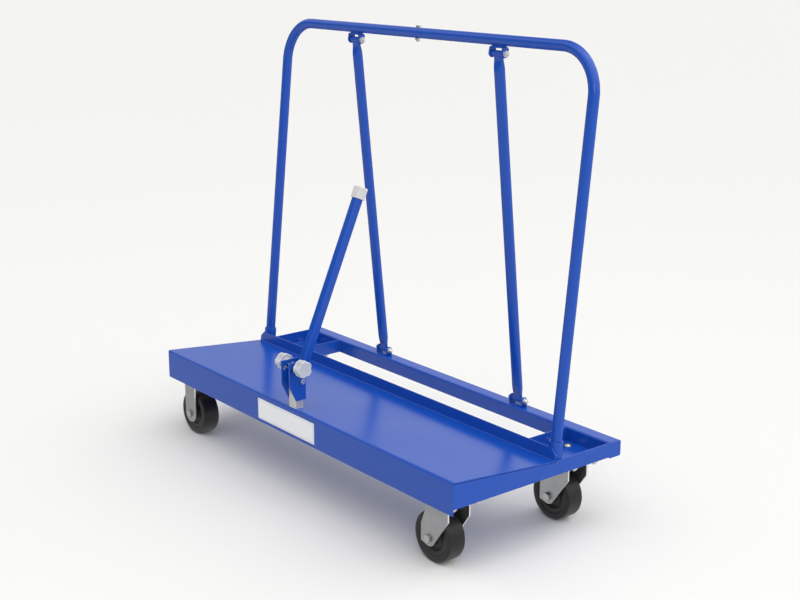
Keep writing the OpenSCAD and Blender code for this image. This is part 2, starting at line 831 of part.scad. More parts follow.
deck_pan();
mirror([1, 0, 0]) side_plate();  // side_plate_left
side_plate();  // side_plate_right
rear_rail();
rail_end_caps();
mirror([1, 0, 0]) cross_member();  // cross_member_left
cross_member();  // cross_member_right
deck_ribs();
rear_bearer();
caster_floor(-1);  // caster_floor_left
caster_floor(1);  // caster_floor_right
mirror([1, 0, 0]) post_socket();  // post_socket_left
post_socket();  // post_socket_right
frame_tube_left();
frame_tube_right();
frame_spigot();
frame_joint_bolt();
frame_joint_nut();
mirror([1, 0, 0]) top_bracket();  // top_bracket_left
top_bracket();  // top_bracket_right
mirror([1, 0, 0]) bottom_bracket();  // bottom_bracket_left
bottom_bracket();  // bottom_bracket_right
mirror([1, 0, 0]) brace();  // brace_left
brace();  // brace_right
brace_bolts();
brace_washers();
brace_nuts();
skirt_label();
clamp_foot();
clamp_foot_bolt();
mirror([1, 0, 0]) clamp_cheek();  // clamp_cheek_left
clamp_cheek();  // clamp_cheek_right
clamp_pivot_bolt();
clamp_pivot_nut();
clamp_arm();
arm_cap();
clamp_rod();
rod_washers();
mirror([1, 0, 0]) knob();  // knob_left
knob();  // knob_right
caster_bolts();
caster_nuts();
kingpins();
top_plate(caster_front_y);  // top_plate_front_right
top_plate(caster_rear_y);  // top_plate_rear_right
swivel_fork(caster_front_y);  // swivel_fork_front_right
swivel_fork(caster_rear_y);  // swivel_fork_rear_right
swivel_axle(caster_front_y);  // axle_front_right
swivel_axle(caster_rear_y);  // axle_rear_right
fixed_fork(caster_front_y);  // fixed_fork_front_left
fixed_fork(caster_rear_y);  // fixed_fork_rear_left
fixed_axles();
tyre(right_wheel_x, caster_front_y);  // tyre_front_right
tyre(right_wheel_x, caster_rear_y);  // tyre_rear_right
tyre(-caster_x, caster_front_y);  // tyre_front_left
tyre(-caster_x, caster_rear_y);  // tyre_rear_left
wheel_core(right_wheel_x, caster_front_y);  // wheel_core_front_right
wheel_core(right_wheel_x, caster_rear_y);  // wheel_core_rear_right
wheel_core(-caster_x, caster_front_y);  // wheel_core_front_left
wheel_core(-caster_x, caster_rear_y);  // wheel_core_rear_left
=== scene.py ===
"""Looks for the drywall panel cart: detailed steel, fasteners, casters and knobs round the CAD frame."""

import json
import math

import bmesh
import bpy
from mathutils import Matrix, Vector


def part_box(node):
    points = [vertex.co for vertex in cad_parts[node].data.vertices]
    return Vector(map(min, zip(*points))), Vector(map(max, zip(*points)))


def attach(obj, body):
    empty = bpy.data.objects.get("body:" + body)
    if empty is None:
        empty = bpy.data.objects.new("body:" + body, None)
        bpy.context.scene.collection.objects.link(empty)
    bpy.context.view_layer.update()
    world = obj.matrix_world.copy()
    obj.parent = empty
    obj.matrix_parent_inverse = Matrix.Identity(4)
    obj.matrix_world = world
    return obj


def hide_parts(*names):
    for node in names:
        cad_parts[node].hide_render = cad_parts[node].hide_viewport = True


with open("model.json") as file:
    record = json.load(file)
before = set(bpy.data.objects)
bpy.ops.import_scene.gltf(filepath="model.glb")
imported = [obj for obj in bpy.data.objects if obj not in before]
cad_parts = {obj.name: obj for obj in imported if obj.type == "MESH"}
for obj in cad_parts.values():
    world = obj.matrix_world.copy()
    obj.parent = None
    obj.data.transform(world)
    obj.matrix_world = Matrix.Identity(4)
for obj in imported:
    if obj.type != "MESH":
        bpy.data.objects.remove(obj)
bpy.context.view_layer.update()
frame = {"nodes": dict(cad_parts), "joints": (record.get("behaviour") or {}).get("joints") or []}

MM = 0.001
TAU = 2 * math.pi
SHARP = math.radians(32)

# ---- where things are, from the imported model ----

deck_lo, deck_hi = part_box("deck_pan")
rail_lo, rail_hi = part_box("rear_rail")
floor_lo, floor_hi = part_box("caster_floor_right")
cheek_lo, cheek_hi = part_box("clamp_cheek_right")
joints = {j["name"]: j for j in frame["joints"]}

FRONT = deck_lo.y
HALF_LEN = deck_hi.x
SHEET = 3 * MM
SKIRT_BOTTOM = deck_lo.z
SKIRT_H = 80 * MM
DECK_FRONT_Z = SKIRT_BOTTOM + SKIRT_H
FOLD_Y = 316.5 * MM
DECK_DROP = 28 * MM
UPSTAND_H = 28.5 * MM
UPSTAND_CHAMFER = 15 * MM
SLOPE = math.atan2(DECK_DROP, FOLD_Y)
LEAN = math.radians(5.7)
RAIL = rail_hi.z - rail_lo.z
RAIL_Y = rail_lo.y - FRONT
RAIL_TOP = rail_hi.z
RAIL_CORNER = 4.5 * MM
FLOOR_TOP = floor_hi.z
FLOOR_UNDER = floor_lo.z
CROSS_X = (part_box("cross_member_right")[0].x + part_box("cross_member_right")[1].x) / 2
SIDE_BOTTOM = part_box("side_plate_right")[0].z
SIDE_TOP_BACK = 213 * MM

TUBE_R = 13.45 * MM
SOCKET_R = 16.85 * MM
SOCKET_TOP = 252 * MM
POST_X = 604.5 * MM
BEND_R = 108 * MM
TOP_TUBE_Z = 1157.7 * MM
POST_OFF = SHEET + SOCKET_R
PLANE_Y = FOLD_Y + POST_OFF * math.cos(LEAN)
PLANE_Z = DECK_FRONT_Z - DECK_DROP - POST_OFF * math.sin(LEAN)
FRAME_H = (TOP_TUBE_Z - PLANE_Z) / math.cos(LEAN)
JOINT_BOLT_X = -23 * MM

BRACE_X = 283 * MM
BRACE_TOP_DROP = 32 * MM
BRACE_FOOT_RISE = 15.5 * MM
EAR_GAP = 20 * MM
EAR_T = 4 * MM
EAR_R = 10.5 * MM
EAR_OUT = EAR_GAP + EAR_T
BRACKET_TOP = BRACE_TOP_DROP - TUBE_R - 2 * MM
SADDLE_HALF = 7 * MM
BUSH_R = 7.5 * MM

M8_R, M8_HEX, M8_HEAD, M8_NUT = 4 * MM, 13 * MM, 5.3 * MM, 6.5 * MM
M10_R, M10_HEX, M10_HEAD, M10_NUT = 5 * MM, 17 * MM, 6.4 * MM, 8 * MM
M12_R, M12_HEX, M12_HEAD, M12_NUT = 6 * MM, 19 * MM, 7.5 * MM, 10 * MM
M8_PITCH, M10_PITCH, M12_PITCH = 1.25 * MM, 1.5 * MM, 1.75 * MM
BOLT_END = 3 * MM
WASHER_R, WASHER_T = 8 * MM, 1.6 * MM
WIDE_WASHER_R = 10.5 * MM

PIVOT = Vector(joints["arm_tilt"]["pos_m"])
ROD = Vector(joints["knob_right_turn"]["pos_m"])
ARM_LEAN = math.radians(23.4)
ARM_W = 22 * MM
ARM_LEN = 510 * MM
CAP_LEN = 30.5 * MM
FOOT_HALF = cheek_lo.x
CHEEK_T = cheek_hi.x - cheek_lo.x
CHEEK_CHAMFER_Z = 302.5 * MM
KNOB_FAR = cheek_hi.x + 33 * MM
KNOB_NEAR = KNOB_FAR - 22 * MM

CASTER_X = 555 * MM
CASTER_Y = {end: joints[f"swivel_{end}_turn"]["pos_m"][1] for end in ("front", "rear")}
TRAIL = 40 * MM
AXLE_Z = joints["wheel_front_right_spin"]["pos_m"][2]
PLATE_T = 5 * MM
PLATE_UNDER = FLOOR_UNDER - PLATE_T
BOLT_DX, BOLT_DY = 45 * MM, 35 * MM
CROWN_TOP = 154 * MM
CROWN_T = 4.5 * MM
CROWN_BACK, CROWN_FRONT = -44 * MM, 26 * MM
LEG_IN, LEG_OUT = 30 * MM, 34.5 * MM
LEG_END_R = 19.5 * MM
LEG_BACK, LEG_CORNER = 28 * MM, 13 * MM
STRAP_HALF = 26 * MM
HUB_HALF = 29.7 * MM
WHEEL_R = 62.5 * MM
TYRE_HALF = 24.8 * MM
CORE_R = 38 * MM


def deck_z(y):
    """Height of the deck's top at a distance behind the front skirt."""
    return DECK_FRONT_Z - y * math.tan(SLOPE)


def deck_under_z(y):
    return deck_z(y) - SHEET / math.cos(SLOPE)


# ---- placing ----

def at(x, y, z):
    return Matrix.Translation((x, y, z))


def turn(degrees, axis):
    return Matrix.Rotation(math.radians(degrees), 4, axis)


IN_YZ = Matrix(((0, 0, 1, 0), (1, 0, 0, 0), (0, 1, 0, 0), (0, 0, 0, 1)))
FRAME_PLANE = at(0, FRONT + PLANE_Y, PLANE_Z) @ Matrix.Rotation(-LEAN, 4, "X")
AT_PIVOT = Matrix.Translation(PIVOT)
AT_ROD = Matrix.Translation(ROD)
ARM_PLACE = AT_PIVOT @ Matrix.Rotation(-ARM_LEAN, 4, "X")
Z_TO_X = turn(90, "Y")
Z_TO_MINUS_X = turn(-90, "Y")
MIRROR_X = Matrix.Scale(-1, 4, (1, 0, 0))
SIDES = {"right": 1, "left": -1}


# ---- mesh building ----

def tidy_mesh(mesh, angle=SHARP):
    """Merges double points, turns the faces outward and marks the sharp edges."""
    bm = bmesh.new()
    bm.from_mesh(mesh)
    bmesh.ops.remove_doubles(bm, verts=bm.verts, dist=1e-7)
    bmesh.ops.recalc_face_normals(bm, faces=bm.faces)
    bm.to_mesh(mesh)
    bm.free()
    mesh.shade_smooth()
    mesh.set_sharp_from_angle(angle=angle)
    return mesh


def mesh_of(verts, faces):
    mesh = bpy.data.meshes.new("part")
    mesh.from_pydata(verts, [], faces)
    return tidy_mesh(mesh)


def moved(mesh, *matrices):
    """A copy of the mesh for each matrix, as a list."""
    copies = []
    for matrix in matrices:
        copy = mesh.copy()
        copy.transform(matrix)
        if matrix.determinant() < 0:
            copy.flip_normals()
        copies.append(copy)
    return copies


def loops_to_mesh(loops, closed_ring=False):
    """Skins a list of point loops of equal length."""
    steps = len(loops[0])
    verts = [p for loop in loops for p in loop]
    faces = []
    rows = len(loops)
    for k in range(rows if closed_ring else rows - 1):
        a, b = k * steps, (k + 1) % rows * steps
        for i in range(steps):
            j = (i + 1) % steps
            faces.append((a + i, a + j, b + j, b + i))
    if not closed_ring:
        faces.append(tuple(reversed(range(steps))))
        faces.append(tuple(range((rows - 1) * steps, rows * steps)))
    return mesh_of(verts, faces)


def polar(rings, steps=48):
    """A closed solid about Z. Each ring is (z, radius), where the radius may be a function of the angle."""
    loops = []
    for z, radius in rings:
        loop = []
        for i in range(steps):
            a = TAU * i / steps
            r = radius(a) if callable(radius) else radius
            loop.append((r * math.cos(a), r * math.sin(a), z))
        loops.append(loop)
    return loops_to_mesh(loops)


def lathe(profile, steps=64):
    """A ring about Z whose section is a closed list of (radius, z)."""
    loops = []
    for i in range(steps):
        a = TAU * i / steps
        loops.append([(r * math.cos(a), r * math.sin(a), z) for r, z in profile])
    return loops_to_mesh(loops, closed_ring=True)


def sweep(points, radii, steps=24):
    """A round bar along points, with one radius for each point."""
    points = [Vector(p) for p in points]
    tangents = []
    for i in range(len(points)):
        a, b = points[max(i - 1, 0)], points[min(i + 1, len(points) - 1)]
        tangents.append((b - a).normalized())
    side = tangents[0].orthogonal().normalized()
    loops = []
    for p, t, r in zip(points, tangents, radii):
        side = (side - t * side.dot(t)).normalized()
        other = t.cross(side)
        loops.append([p + r * (math.cos(TAU * i / steps) * side + math.sin(TAU * i / steps) * other)
                      for i in range(steps)])
    return loops_to_mesh(loops)


def plate(outlines, thickness, edge=0.4 * MM):
    """A flat plate in XY about Z = 0, with rounded edges. The first outline is its rim, the rest holes."""
    curve = bpy.data.curves.new("plate", "CURVE")
    curve.dimensions = "2D"
    curve.fill_mode = "BOTH"
    curve.extrude = thickness / 2 - edge
    curve.bevel_depth = edge
    curve.bevel_resolution = 2
    curve.offset = -edge
    for outline in outlines:
        spline = curve.splines.new("POLY")
        spline.points.add(len(outline) - 1)
        for point, (x, y) in zip(spline.points, outline):
            point.co = (x, y, 0, 1)
        spline.use_cyclic_u = True
    mesh = evaluated_mesh(as_object("plate", curve))
    bpy.data.curves.remove(curve)
    return tidy_mesh(mesh)


def evaluated_mesh(obj):
    """The object's mesh with its modifiers applied. The object is removed."""
    bpy.context.view_layer.update()
    graph = bpy.context.evaluated_depsgraph_get()
    mesh = bpy.data.meshes.new_from_object(obj.evaluated_get(graph))
    bpy.data.objects.remove(obj)
    return mesh


def as_object(name, data):
    obj = bpy.data.objects.new(name, data)
    bpy.context.scene.collection.objects.link(obj)
    return obj


def bevelled(mesh, width, angle):
    obj = as_object("bevel", mesh)
    bevel = obj.modifiers.new("edges", "BEVEL")
    bevel.width = width
    bevel.segments = 2
    bevel.limit_method = "ANGLE"
    bevel.angle_limit = math.radians(angle)
    bevel.use_clamp_overlap = True
    return tidy_mesh(evaluated_mesh(obj), math.radians(40))


def boolean(mesh, other, operation):
    obj = as_object("kept", mesh)
    tool = as_object("tool", other)
    cut = obj.modifiers.new("cut", "BOOLEAN")
    cut.operation = operation
    cut.solver = "EXACT"
    cut.object = tool
    result = evaluated_mesh(obj)
    bpy.data.objects.remove(tool)
    return tidy_mesh(result)


def prism(outline, z0, z1):
    """An outline in XY extruded along Z."""
    return loops_to_mesh([[(x, y, z0) for x, y in outline], [(x, y, z1) for x, y in outline]])


def arc(cx, cy, r, start, end, steps=8):
    """Points on an arc, with the angles in degrees."""
    points = []
    for i in range(steps + 1):
        a = math.radians(start + (end - start) * i / steps)
        points.append((cx + r * math.cos(a), cy + r * math.sin(a)))
    return points


def ring_points(x, y, r, steps=32):
    return arc(x, y, r, 0, 360 * (steps - 1) / steps, steps - 1)


def offsets(x, y, *steps):
    """Points that lie steps in millimetres away from (x, y)."""
    return [(x + dx * MM, y + dy * MM) for dx, dy in steps]


def round_rect(w, h, r, steps=6):
    """A centred rectangle with round corners."""
    x, y = w / 2 - r, h / 2 - r
    return (arc(x, y, r, 0, 90, steps) + arc(-x, y, r, 90, 180, steps)
            + arc(-x, -y, r, 180, 270, steps) + arc(x, -y, r, 270, 360, steps))


def pressed_u(outline, along, legs, bend, heights):
    """A U of pressed sheet, open below, with its legs at both ends of Y.

    The outline is its side view in X and Z, legs are (half the inside width, sheet thickness).
    """
    inside, thick = legs
    low, top = heights
    outside, inner = inside + thick, bend - thick
    section = ([(-outside, low), (-inside, low)] + arc(inner - inside, top - thick - inner, inner, 180, 90, 6)
               + arc(inside - inner, top - thick - inner, inner, 90, 0, 6) + [(inside, low), (outside, low)]
               + arc(outside - bend, top - bend, bend, 0, 90, 8)
               + arc(bend - outside, top - bend, bend, 90, 180, 8))
    bent = prism(section, *along)
    bent.transform(IN_YZ)
    cutter = prism(outline, -60 * MM, 60 * MM)
    cutter.transform(turn(90, "X"))
    return bevelled(boolean(bent, cutter, "INTERSECT"), 0.7 * MM, 40)


# ---- fasteners ----

def hexagon(flats):
    def radius(a):
        return flats / 2 / math.cos((a + math.pi / 6) % (math.pi / 3) - math.pi / 6)
    return radius


def hex_limited(flats, limit):
    hexed = hexagon(flats)
    return lambda a: min(hexed(a), limit)


def hex_head(flats, height):
    """A bolt head that stands on Z = 0, with a washer face under it and a chamfered top."""
    corner = flats / 2 / math.cos(math.pi / 6)
    return polar([(0, 0.47 * flats), (0.03 * flats, 0.47 * flats),
                  (0.03 * flats, hex_limited(flats, 0.98 * corner)), (0.07 * flats, hexagon(flats)),
                  (0.72 * height, hexagon(flats)), (0.86 * height, hex_limited(flats, 0.96 * corner)),
                  (0.96 * height, hex_limited(flats, 0.50 * flats)), (height, 0.45 * flats),
                  (0.96 * height, 0.20 * flats)], 72)


def hex_nut(flats, height, bore):
    """A lock nut on Z = 0 with its collar on top and a ring round the bore where the nylon insert is, all in
    one material.
    """
    corner = flats / 2 / math.cos(math.pi / 6)
    body = 0.80 * height
    rings = [(0, 0.45 * flats), (0.05 * flats, hex_limited(flats, 0.97 * corner)),
             (0.10 * flats, hexagon(flats)), (body - 0.08 * flats, hexagon(flats)),
             (body - 0.02 * flats, hex_limited(flats, 0.52 * flats)),
             (body, 0.45 * flats), (0.88 * height, 0.43 * flats), (0.97 * height, 0.40 * flats),
             (height, 0.36 * flats), (0.97 * height, bore * 1.12), (0.90 * height, bore * 1.02)]
    return polar(rings, 72)


def threaded(radius, z0, z1, pitch):
    """A threaded bar from z0 to z1, with a chamfer at its far end."""
    depth = 0.32 * pitch
    per_turn = 6
    count = max(2, round((z1 - z0) / pitch * per_turn))
    rings = []
    for k in range(count + 1):
        z = z0 + (z1 - z0) * k / count

        def radius_at(a, z=z):
            wave = abs(2 * ((z / pitch - a / TAU) % 1) - 1)
            end = min(1, (z1 - z) / (0.8 * pitch))
            return (radius - depth * wave) * (0.88 + 0.12 * end)
        rings.append((z, radius_at))
    return polar(rings, 24)


def washer(outer, bore, thickness):
    e = 0.15 * thickness
    return lathe([(bore, e), (bore + e, 0), (outer - e, 0), (outer, e), (outer, thickness - e),
                  (outer - e, thickness), (bore + e, thickness), (bore, thickness - e)], 48)


def bead(points, size=2.2 * MM, pitch=3.2 * MM):
    """A rippled weld bead along straight stretches between points."""
    points = [Vector(p) for p in points]
    line = []
    for a, b in zip(points, points[1:]):
        count = max(2, round((b - a).length / (pitch / 4)))
        line += [a.lerp(b, i / count) for i in range(count)]
    line.append(points[-1])
    radii = []
    for i in range(len(line)):
        end = min(1, 0.45 + 0.25 * min(i, len(line) - 1 - i))
        radii.append(size * end * (1 + 0.10 * math.sin(TAU * i / 4) + 0.05 * math.sin(1.7 * i)))
    return sweep(line, radii, 10)


def ring_bead(centre, radius, matrix, size=2 * MM):
    """A weld bead round a bar, in the plane z = 0 of the matrix."""
    steps = 72
    points = []
    for i in range(steps + 1):
        a = TAU * i / steps
        x, y = centre[0] + radius * math.cos(a), centre[1] + radius * math.sin(a)
        points.append(matrix @ Vector((x, y, centre[2])))
    return bead(points, size, 8 * TAU * radius / steps)


# ---- materials ----

class Graph:
    """A node tree. Most methods add a node and give the socket with its result."""

    def __init__(self, tree):
        self.nodes = tree.nodes
        self.links = tree.links

    def feed(self, socket, value):
        """Links the socket to another one, or sets it to a plain value."""
        if isinstance(value, bpy.types.NodeSocket):
            self.links.new(value, socket)
        else:
            socket.default_value = value

    def maths(self, operation, *values, kind="ShaderNodeMath"):
        node = self.nodes.new(kind)
        node.operation = operation
        for socket, value in zip(node.inputs, values):
            self.feed(socket, value)
        return node.outputs["Value"]

    def dot(self, a, b):
        return self.maths("DOT_PRODUCT", a, b, kind="ShaderNodeVectorMath")

    def axis(self, vector, name):
        node = self.nodes.new("ShaderNodeSeparateXYZ")
        self.feed(node.inputs[0], vector)
        return node.outputs[name]

    def span(self, value, low, high, to_low=0.0, to_high=1.0):
        """Maps a value from one range to another, and keeps it inside."""
        node = self.nodes.new("ShaderNodeMapRange")
        for name, number in (("Value", value), ("From Min", low), ("From Max", high),
                             ("To Min", to_low), ("To Max", to_high)):
            self.feed(node.inputs[name], number)
        return node.outputs["Result"]

    def blend(self, amount, a, b, kind="FLOAT"):
        """Goes from a to b as the amount goes from 0 to 1."""
        node = self.nodes.new("ShaderNodeMix")
        node.data_type = kind
        for name, value in (("Factor", amount), ("A", a), ("B", b)):
            self.feed(node.inputs[name], value)
        return node.outputs["Result"]


class Look(Graph):
    """A procedural material on a Principled shader, in the object's own coordinates."""

    def __init__(self, name, colour, roughness, metallic=0.0, specular=0.5):
        self.material = bpy.data.materials.new(name)
        self.material.use_nodes = True
        super().__init__(self.material.node_tree)
        self.shader = self.nodes["Principled BSDF"]
        self.place = self.nodes.new("ShaderNodeTexCoord").outputs["Object"]
        self.set("Base Color", (*colour, 1))
        self.set("Roughness", roughness)
        self.set("Metallic", metallic)
        self.set("Specular IOR Level", specular)
        self.colour = None
        self.bump = None

    def set(self, socket, value):
        self.feed(self.shader.inputs[socket], value)

    def noise(self, scale, detail=2.0, roughness=0.5):
        node = self.nodes.new("ShaderNodeTexNoise")
        for name, value in (("Scale", scale), ("Detail", detail), ("Roughness", roughness),
                            ("Vector", self.place)):
            self.feed(node.inputs[name], value)
        return node.outputs["Fac"]

    def cells(self, scale):
        node = self.nodes.new("ShaderNodeTexVoronoi")
        self.feed(node.inputs["Scale"], scale)
        self.feed(node.inputs["Vector"], self.place)
        return node.outputs["Distance"]

    def cloud(self, scale, detail, low, high, least, most, roughness=0.5):
        """Noise, mapped from low and high to least and most."""
        return self.span(self.noise(scale, detail, roughness), low, high, least, most)

    def edges(self, radius):
        """1 along convex and concave edges, 0 on flat stretches."""
        rounded = self.nodes.new("ShaderNodeBevel")
        rounded.samples = 4
        self.feed(rounded.inputs["Radius"], radius)
        true_normal = self.nodes.new("ShaderNodeNewGeometry").outputs["Normal"]
        return self.span(self.dot(rounded.outputs["Normal"], true_normal), 0.995, 0.90)

    def sheared_edges(self):
        """1 where the sheet was cut, square to the object's XZ plane, and 0 on its faces."""
        normal = self.nodes.new("ShaderNodeTexCoord").outputs["Normal"]
        return self.span(self.maths("ABSOLUTE", self.axis(normal, "Y")), 0.75, 0.35)

    def tint(self, colour, amount):
        """Mixes a colour over what is there, by an amount from 0 to 1."""
        base = self.shader.inputs["Base Color"]
        under = base.default_value[:] if self.colour is None else self.colour
        self.colour = self.blend(amount, under, (*colour, 1), "RGBA")
        self.feed(base, self.colour)

    def patches(self, colour, *cloud):
        self.tint(colour, self.cloud(*cloud))

    def edge_wear_and_highlight(self, colour, width, *cloud):
        """A colour along the edges, more in some places than in others: worn edges on most materials, and a
        painted highlight along the rims of the knobs and the foot.
        """
        self.tint(colour, self.maths("MULTIPLY", self.edges(width), self.cloud(*cloud)))

    def rough(self, *cloud):
        self.set("Roughness", self.cloud(*cloud))

    def height(self, value, distance, strength=1.0):
        """Adds a bump of that height in metres."""
        node = self.nodes.new("ShaderNodeBump")
        for name, number in (("Distance", distance), ("Strength", strength), ("Height", value)):
            self.feed(node.inputs[name], number)
        if self.bump is not None:
            self.feed(node.inputs["Normal"], self.bump)
        self.bump = node.outputs["Normal"]
        self.set("Normal", self.bump)


BLUE_PAINT = (0.0048, 0.067, 0.415)


def blue_powder_coat():
    look = Look("blue_powder_coat", BLUE_PAINT, 0.22, specular=0.42)
    look.patches((0.0042, 0.060, 0.390), 2.2, 3.0, 0.35, 0.7, 0.0, 0.30)
    look.patches((0.022, 0.09, 0.45), 1500, 1.0, 0.60, 0.75, 0.0, 0.08)
    look.edge_wear_and_highlight((0.035, 0.13, 0.52), 1.0 * MM, 70, 3.0, 0.42, 0.70, 0.0, 0.16)
    look.rough(5, 3.0, 0.3, 0.75, 0.20, 0.27)
    look.height(look.noise(520, 1.5, 0.4), 0.02 * MM, 0.5)
    return look.material


def zinc_plate(name, colour, rough_low, rough_high, grain, cut_edge_highlight=False):
    look = Look(name, colour, rough_low, metallic=1.0)
    look.patches(tuple(0.78 * c for c in colour), 28, 4.0, 0.35, 0.7, 0.0, 0.4)
    look.patches(tuple(c * f for c, f in zip(colour, (1.10, 1.06, 0.96))), 11, 2.0, 0.5, 0.8, 0.0, 0.25)
    look.edge_wear_and_highlight((0.74, 0.74, 0.74), 0.8 * MM, 90, 2.0, 0.35, 0.6, 0.1, 0.5)
    if cut_edge_highlight:
        # Near-white cut edges: a painted highlight of light catching the fork's edges.
        look.tint((0.93, 0.93, 0.93), look.sheared_edges())
    look.rough(40, 5.0, 0.3, 0.75, rough_low, rough_high, 0.6)
    look.height(look.noise(grain, 3.0, 0.6), 0.03 * MM, 0.35)
    return look.material


def tyre_rubber():
    look = Look("tyre_rubber", (0.013, 0.013, 0.0135), 0.5, specular=0.30)
    look.patches((0.020, 0.020, 0.019), 14, 5.0, 0.42, 0.75, 0.0, 0.5)
    look.edge_wear_and_highlight((0.045, 0.044, 0.042), 1.5 * MM, 120, 2.0, 0.4, 0.7, 0.0, 0.5)
    look.rough(30, 4.0, 0.3, 0.7, 0.30, 0.42)
    look.height(look.noise(1600, 2.0), 0.02 * MM, 0.4)
    return look.material


def core_plastic():
    look = Look("wheel_core_black", (0.010, 0.010, 0.0105), 0.4, specular=0.35)
    look.patches((0.017, 0.017, 0.017), 20, 3.0, 0.4, 0.7, 0.0, 0.5)
    look.rough(45, 3.0, 0.3, 0.7, 0.30, 0.46)
    look.height(look.noise(900, 2.0), 0.03 * MM, 0.4)
    return look.material


def grey_plastic(name, colour, rough_low, rough_high, rim=(1.0 * MM, 0.0, 0.35), metal=0.0):
    """Smooth light grey, paler along its edges by (width of the rim, least, most): a faint rim is edge wear,
    and a strong rim is a painted highlight.
    """
    look = Look(name, colour, rough_low, metallic=metal)
    width, least, most = rim
    look.set("Subsurface Weight", 0.06)
    look.set("Subsurface Radius", (0.004, 0.004, 0.004))
    look.set("Subsurface Scale", 0.5)
    look.patches(tuple(0.86 * c for c in colour), 35, 3.0, 0.35, 0.75, 0.0, 0.35)
    # Pale rims: a painted highlight where least is high (knobs, foot), edge wear where it is low (cap).
    look.edge_wear_and_highlight((0.92, 0.92, 0.90), width, 150, 2.0, 0.45, 0.7, least, most)
    look.rough(60, 3.0, 0.3, 0.7, rough_low, rough_high)
    look.height(look.cells(1300), 0.03 * MM, 0.35)
    look.height(look.noise(300, 2.0), 0.03 * MM, 0.3)
    return look.material


def label_vinyl():
    look = Look("label_vinyl", (0.84, 0.85, 0.88), 0.28)
    look.patches((0.82, 0.83, 0.86), 5, 2.0, 0.4, 0.8, 0.0, 0.3)
    look.edge_wear_and_highlight((0.70, 0.71, 0.74), 1.0 * MM, 40, 2.0, 0.4, 0.7, 0.0, 0.3)
    look.rough(8, 2.0, 0.3, 0.7, 0.27, 0.32)
    look.height(look.noise(900, 1.0), 0.002 * MM, 0.3)
    return look.material


def label_ink():
    look = Look("label_keyline", (0.30, 0.32, 0.36), 0.3)
    look.patches((0.40, 0.42, 0.45), 220, 2.0, 0.4, 0.7, 0.0, 0.3)
    look.rough(60, 2.0, 0.3, 0.7, 0.25, 0.4)
    look.height(look.noise(700, 2.0), 0.004 * MM, 0.4)
    return look.material


def weld_paint():
    look = Look("painted_weld", BLUE_PAINT, 0.30)
    look.patches((0.004, 0.045, 0.33), 140, 3.0, 0.4, 0.75, 0.0, 0.45)
    look.rough(90, 3.0, 0.3, 0.7, 0.26, 0.42)
    look.height(look.noise(500, 3.0), 0.08 * MM, 0.5)
    return look.material


BLUE = blue_powder_coat()
WELD = weld_paint()
ZINC = zinc_plate("zinc_sheet", (0.43, 0.435, 0.445), 0.40, 0.55, 700)
# The fork's pale cut edges are a painted highlight.
FORK = zinc_plate("zinc_fork", (0.43, 0.435, 0.445), 0.40, 0.55, 700, cut_edge_highlight=True)
AXLE = zinc_plate("zinc_axle", (0.50, 0.505, 0.515), 0.30, 0.42, 900)
BOLT = zinc_plate("zinc_bolt", (0.74, 0.745, 0.75), 0.20, 0.30, 1200)
RUBBER = tyre_rubber()
CORE = core_plastic()
# Knob plastic: its rims carry a strong painted highlight, and its grey is cast slightly blue as a painted
# reflection of the blue deck.
KNOB = grey_plastic("knob_plastic", (0.50, 0.52, 0.57), 0.20, 0.30, (1.7 * MM, 0.75, 1.0))
CAP = grey_plastic("cap_rubber", (0.62, 0.62, 0.62), 0.48, 0.62)
# Foot plate: its corners carry a strong painted highlight.
FOOT = grey_plastic("foot_plate", (0.56, 0.56, 0.56), 0.30, 0.42, (2.5 * MM, 0.7, 1.0), 0.5)
LABEL = label_vinyl()
INK = label_ink()


def piece(name, body, look, meshes, stands_for=()):
    """Joins the meshes into one object, ties it to its body, and hides the CAD nodes it stands for."""
    bm = bmesh.new()
    for mesh in meshes:
        bm.from_mesh(mesh)
    joined = bpy.data.meshes.new(name)
    bm.to_mesh(joined)
    bm.free()
    joined.materials.append(look)
    obj = as_object(name, joined)
    normals = obj.modifiers.new("flat_faces", "WEIGHTED_NORMAL")
    normals.keep_sharp = True
    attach(obj, body)
    if stands_for:
        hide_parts(*stands_for)


def painted(name, meshes, *stands_for):
    piece(name, "chassis", BLUE, meshes, stands_for)


def plated(name, look, meshes, *stands_for, body="chassis"):
    piece(name, body, look, meshes, stands_for)


# ---- deck and chassis ----

def deck_sheet():
    bend_in = 2 * MM
    bend_out = bend_in + SHEET
    slope, lean = math.degrees(SLOPE), math.degrees(LEAN)
    back_z = DECK_FRONT_Z - DECK_DROP
    front_c = (bend_out, DECK_FRONT_Z - bend_out * math.tan(SLOPE) - bend_out / math.cos(SLOPE))
    across = math.cos(SLOPE - LEAN)
    back_c = (FOLD_Y + bend_in * (math.sin(LEAN) - math.cos(SLOPE)) / across,
              back_z + bend_in * (math.sin(SLOPE) + math.cos(LEAN)) / across)
    top_front = (FOLD_Y + UPSTAND_H * math.sin(LEAN), back_z + UPSTAND_H * math.cos(LEAN))
    top_back = (top_front[0] + SHEET * math.cos(LEAN), top_front[1] - SHEET * math.sin(LEAN))
    outline = ([(0, SKIRT_BOTTOM)] + arc(*front_c, bend_out, 180, 90 - slope)
               + arc(*back_c, bend_in, 270 - slope, 360 - lean) + [top_front, top_back]
               + arc(*back_c, bend_out, 360 - lean, 270 - slope) + arc(*front_c, bend_in, 90 - slope, 180)
               + [(SHEET, SKIRT_BOTTOM)])
    sheet = prism(outline, -HALF_LEN, HALF_LEN)
    sheet.transform(IN_YZ)
    side = UPSTAND_CHAMFER / math.sqrt(2)
    for sign in (-1, 1):
        cutter = prism([(-side, -side), (side, -side), (side, side), (-side, side)], -20 * MM, 20 * MM)
        cutter.transform(at(sign * HALF_LEN, top_front[0], top_front[1]) @ turn(90, "X") @ turn(45, "Z"))
        sheet = boolean(sheet, cutter, "DIFFERENCE")
    return moved(bevelled(sheet, 0.5 * MM, 50), at(0, FRONT, 0))


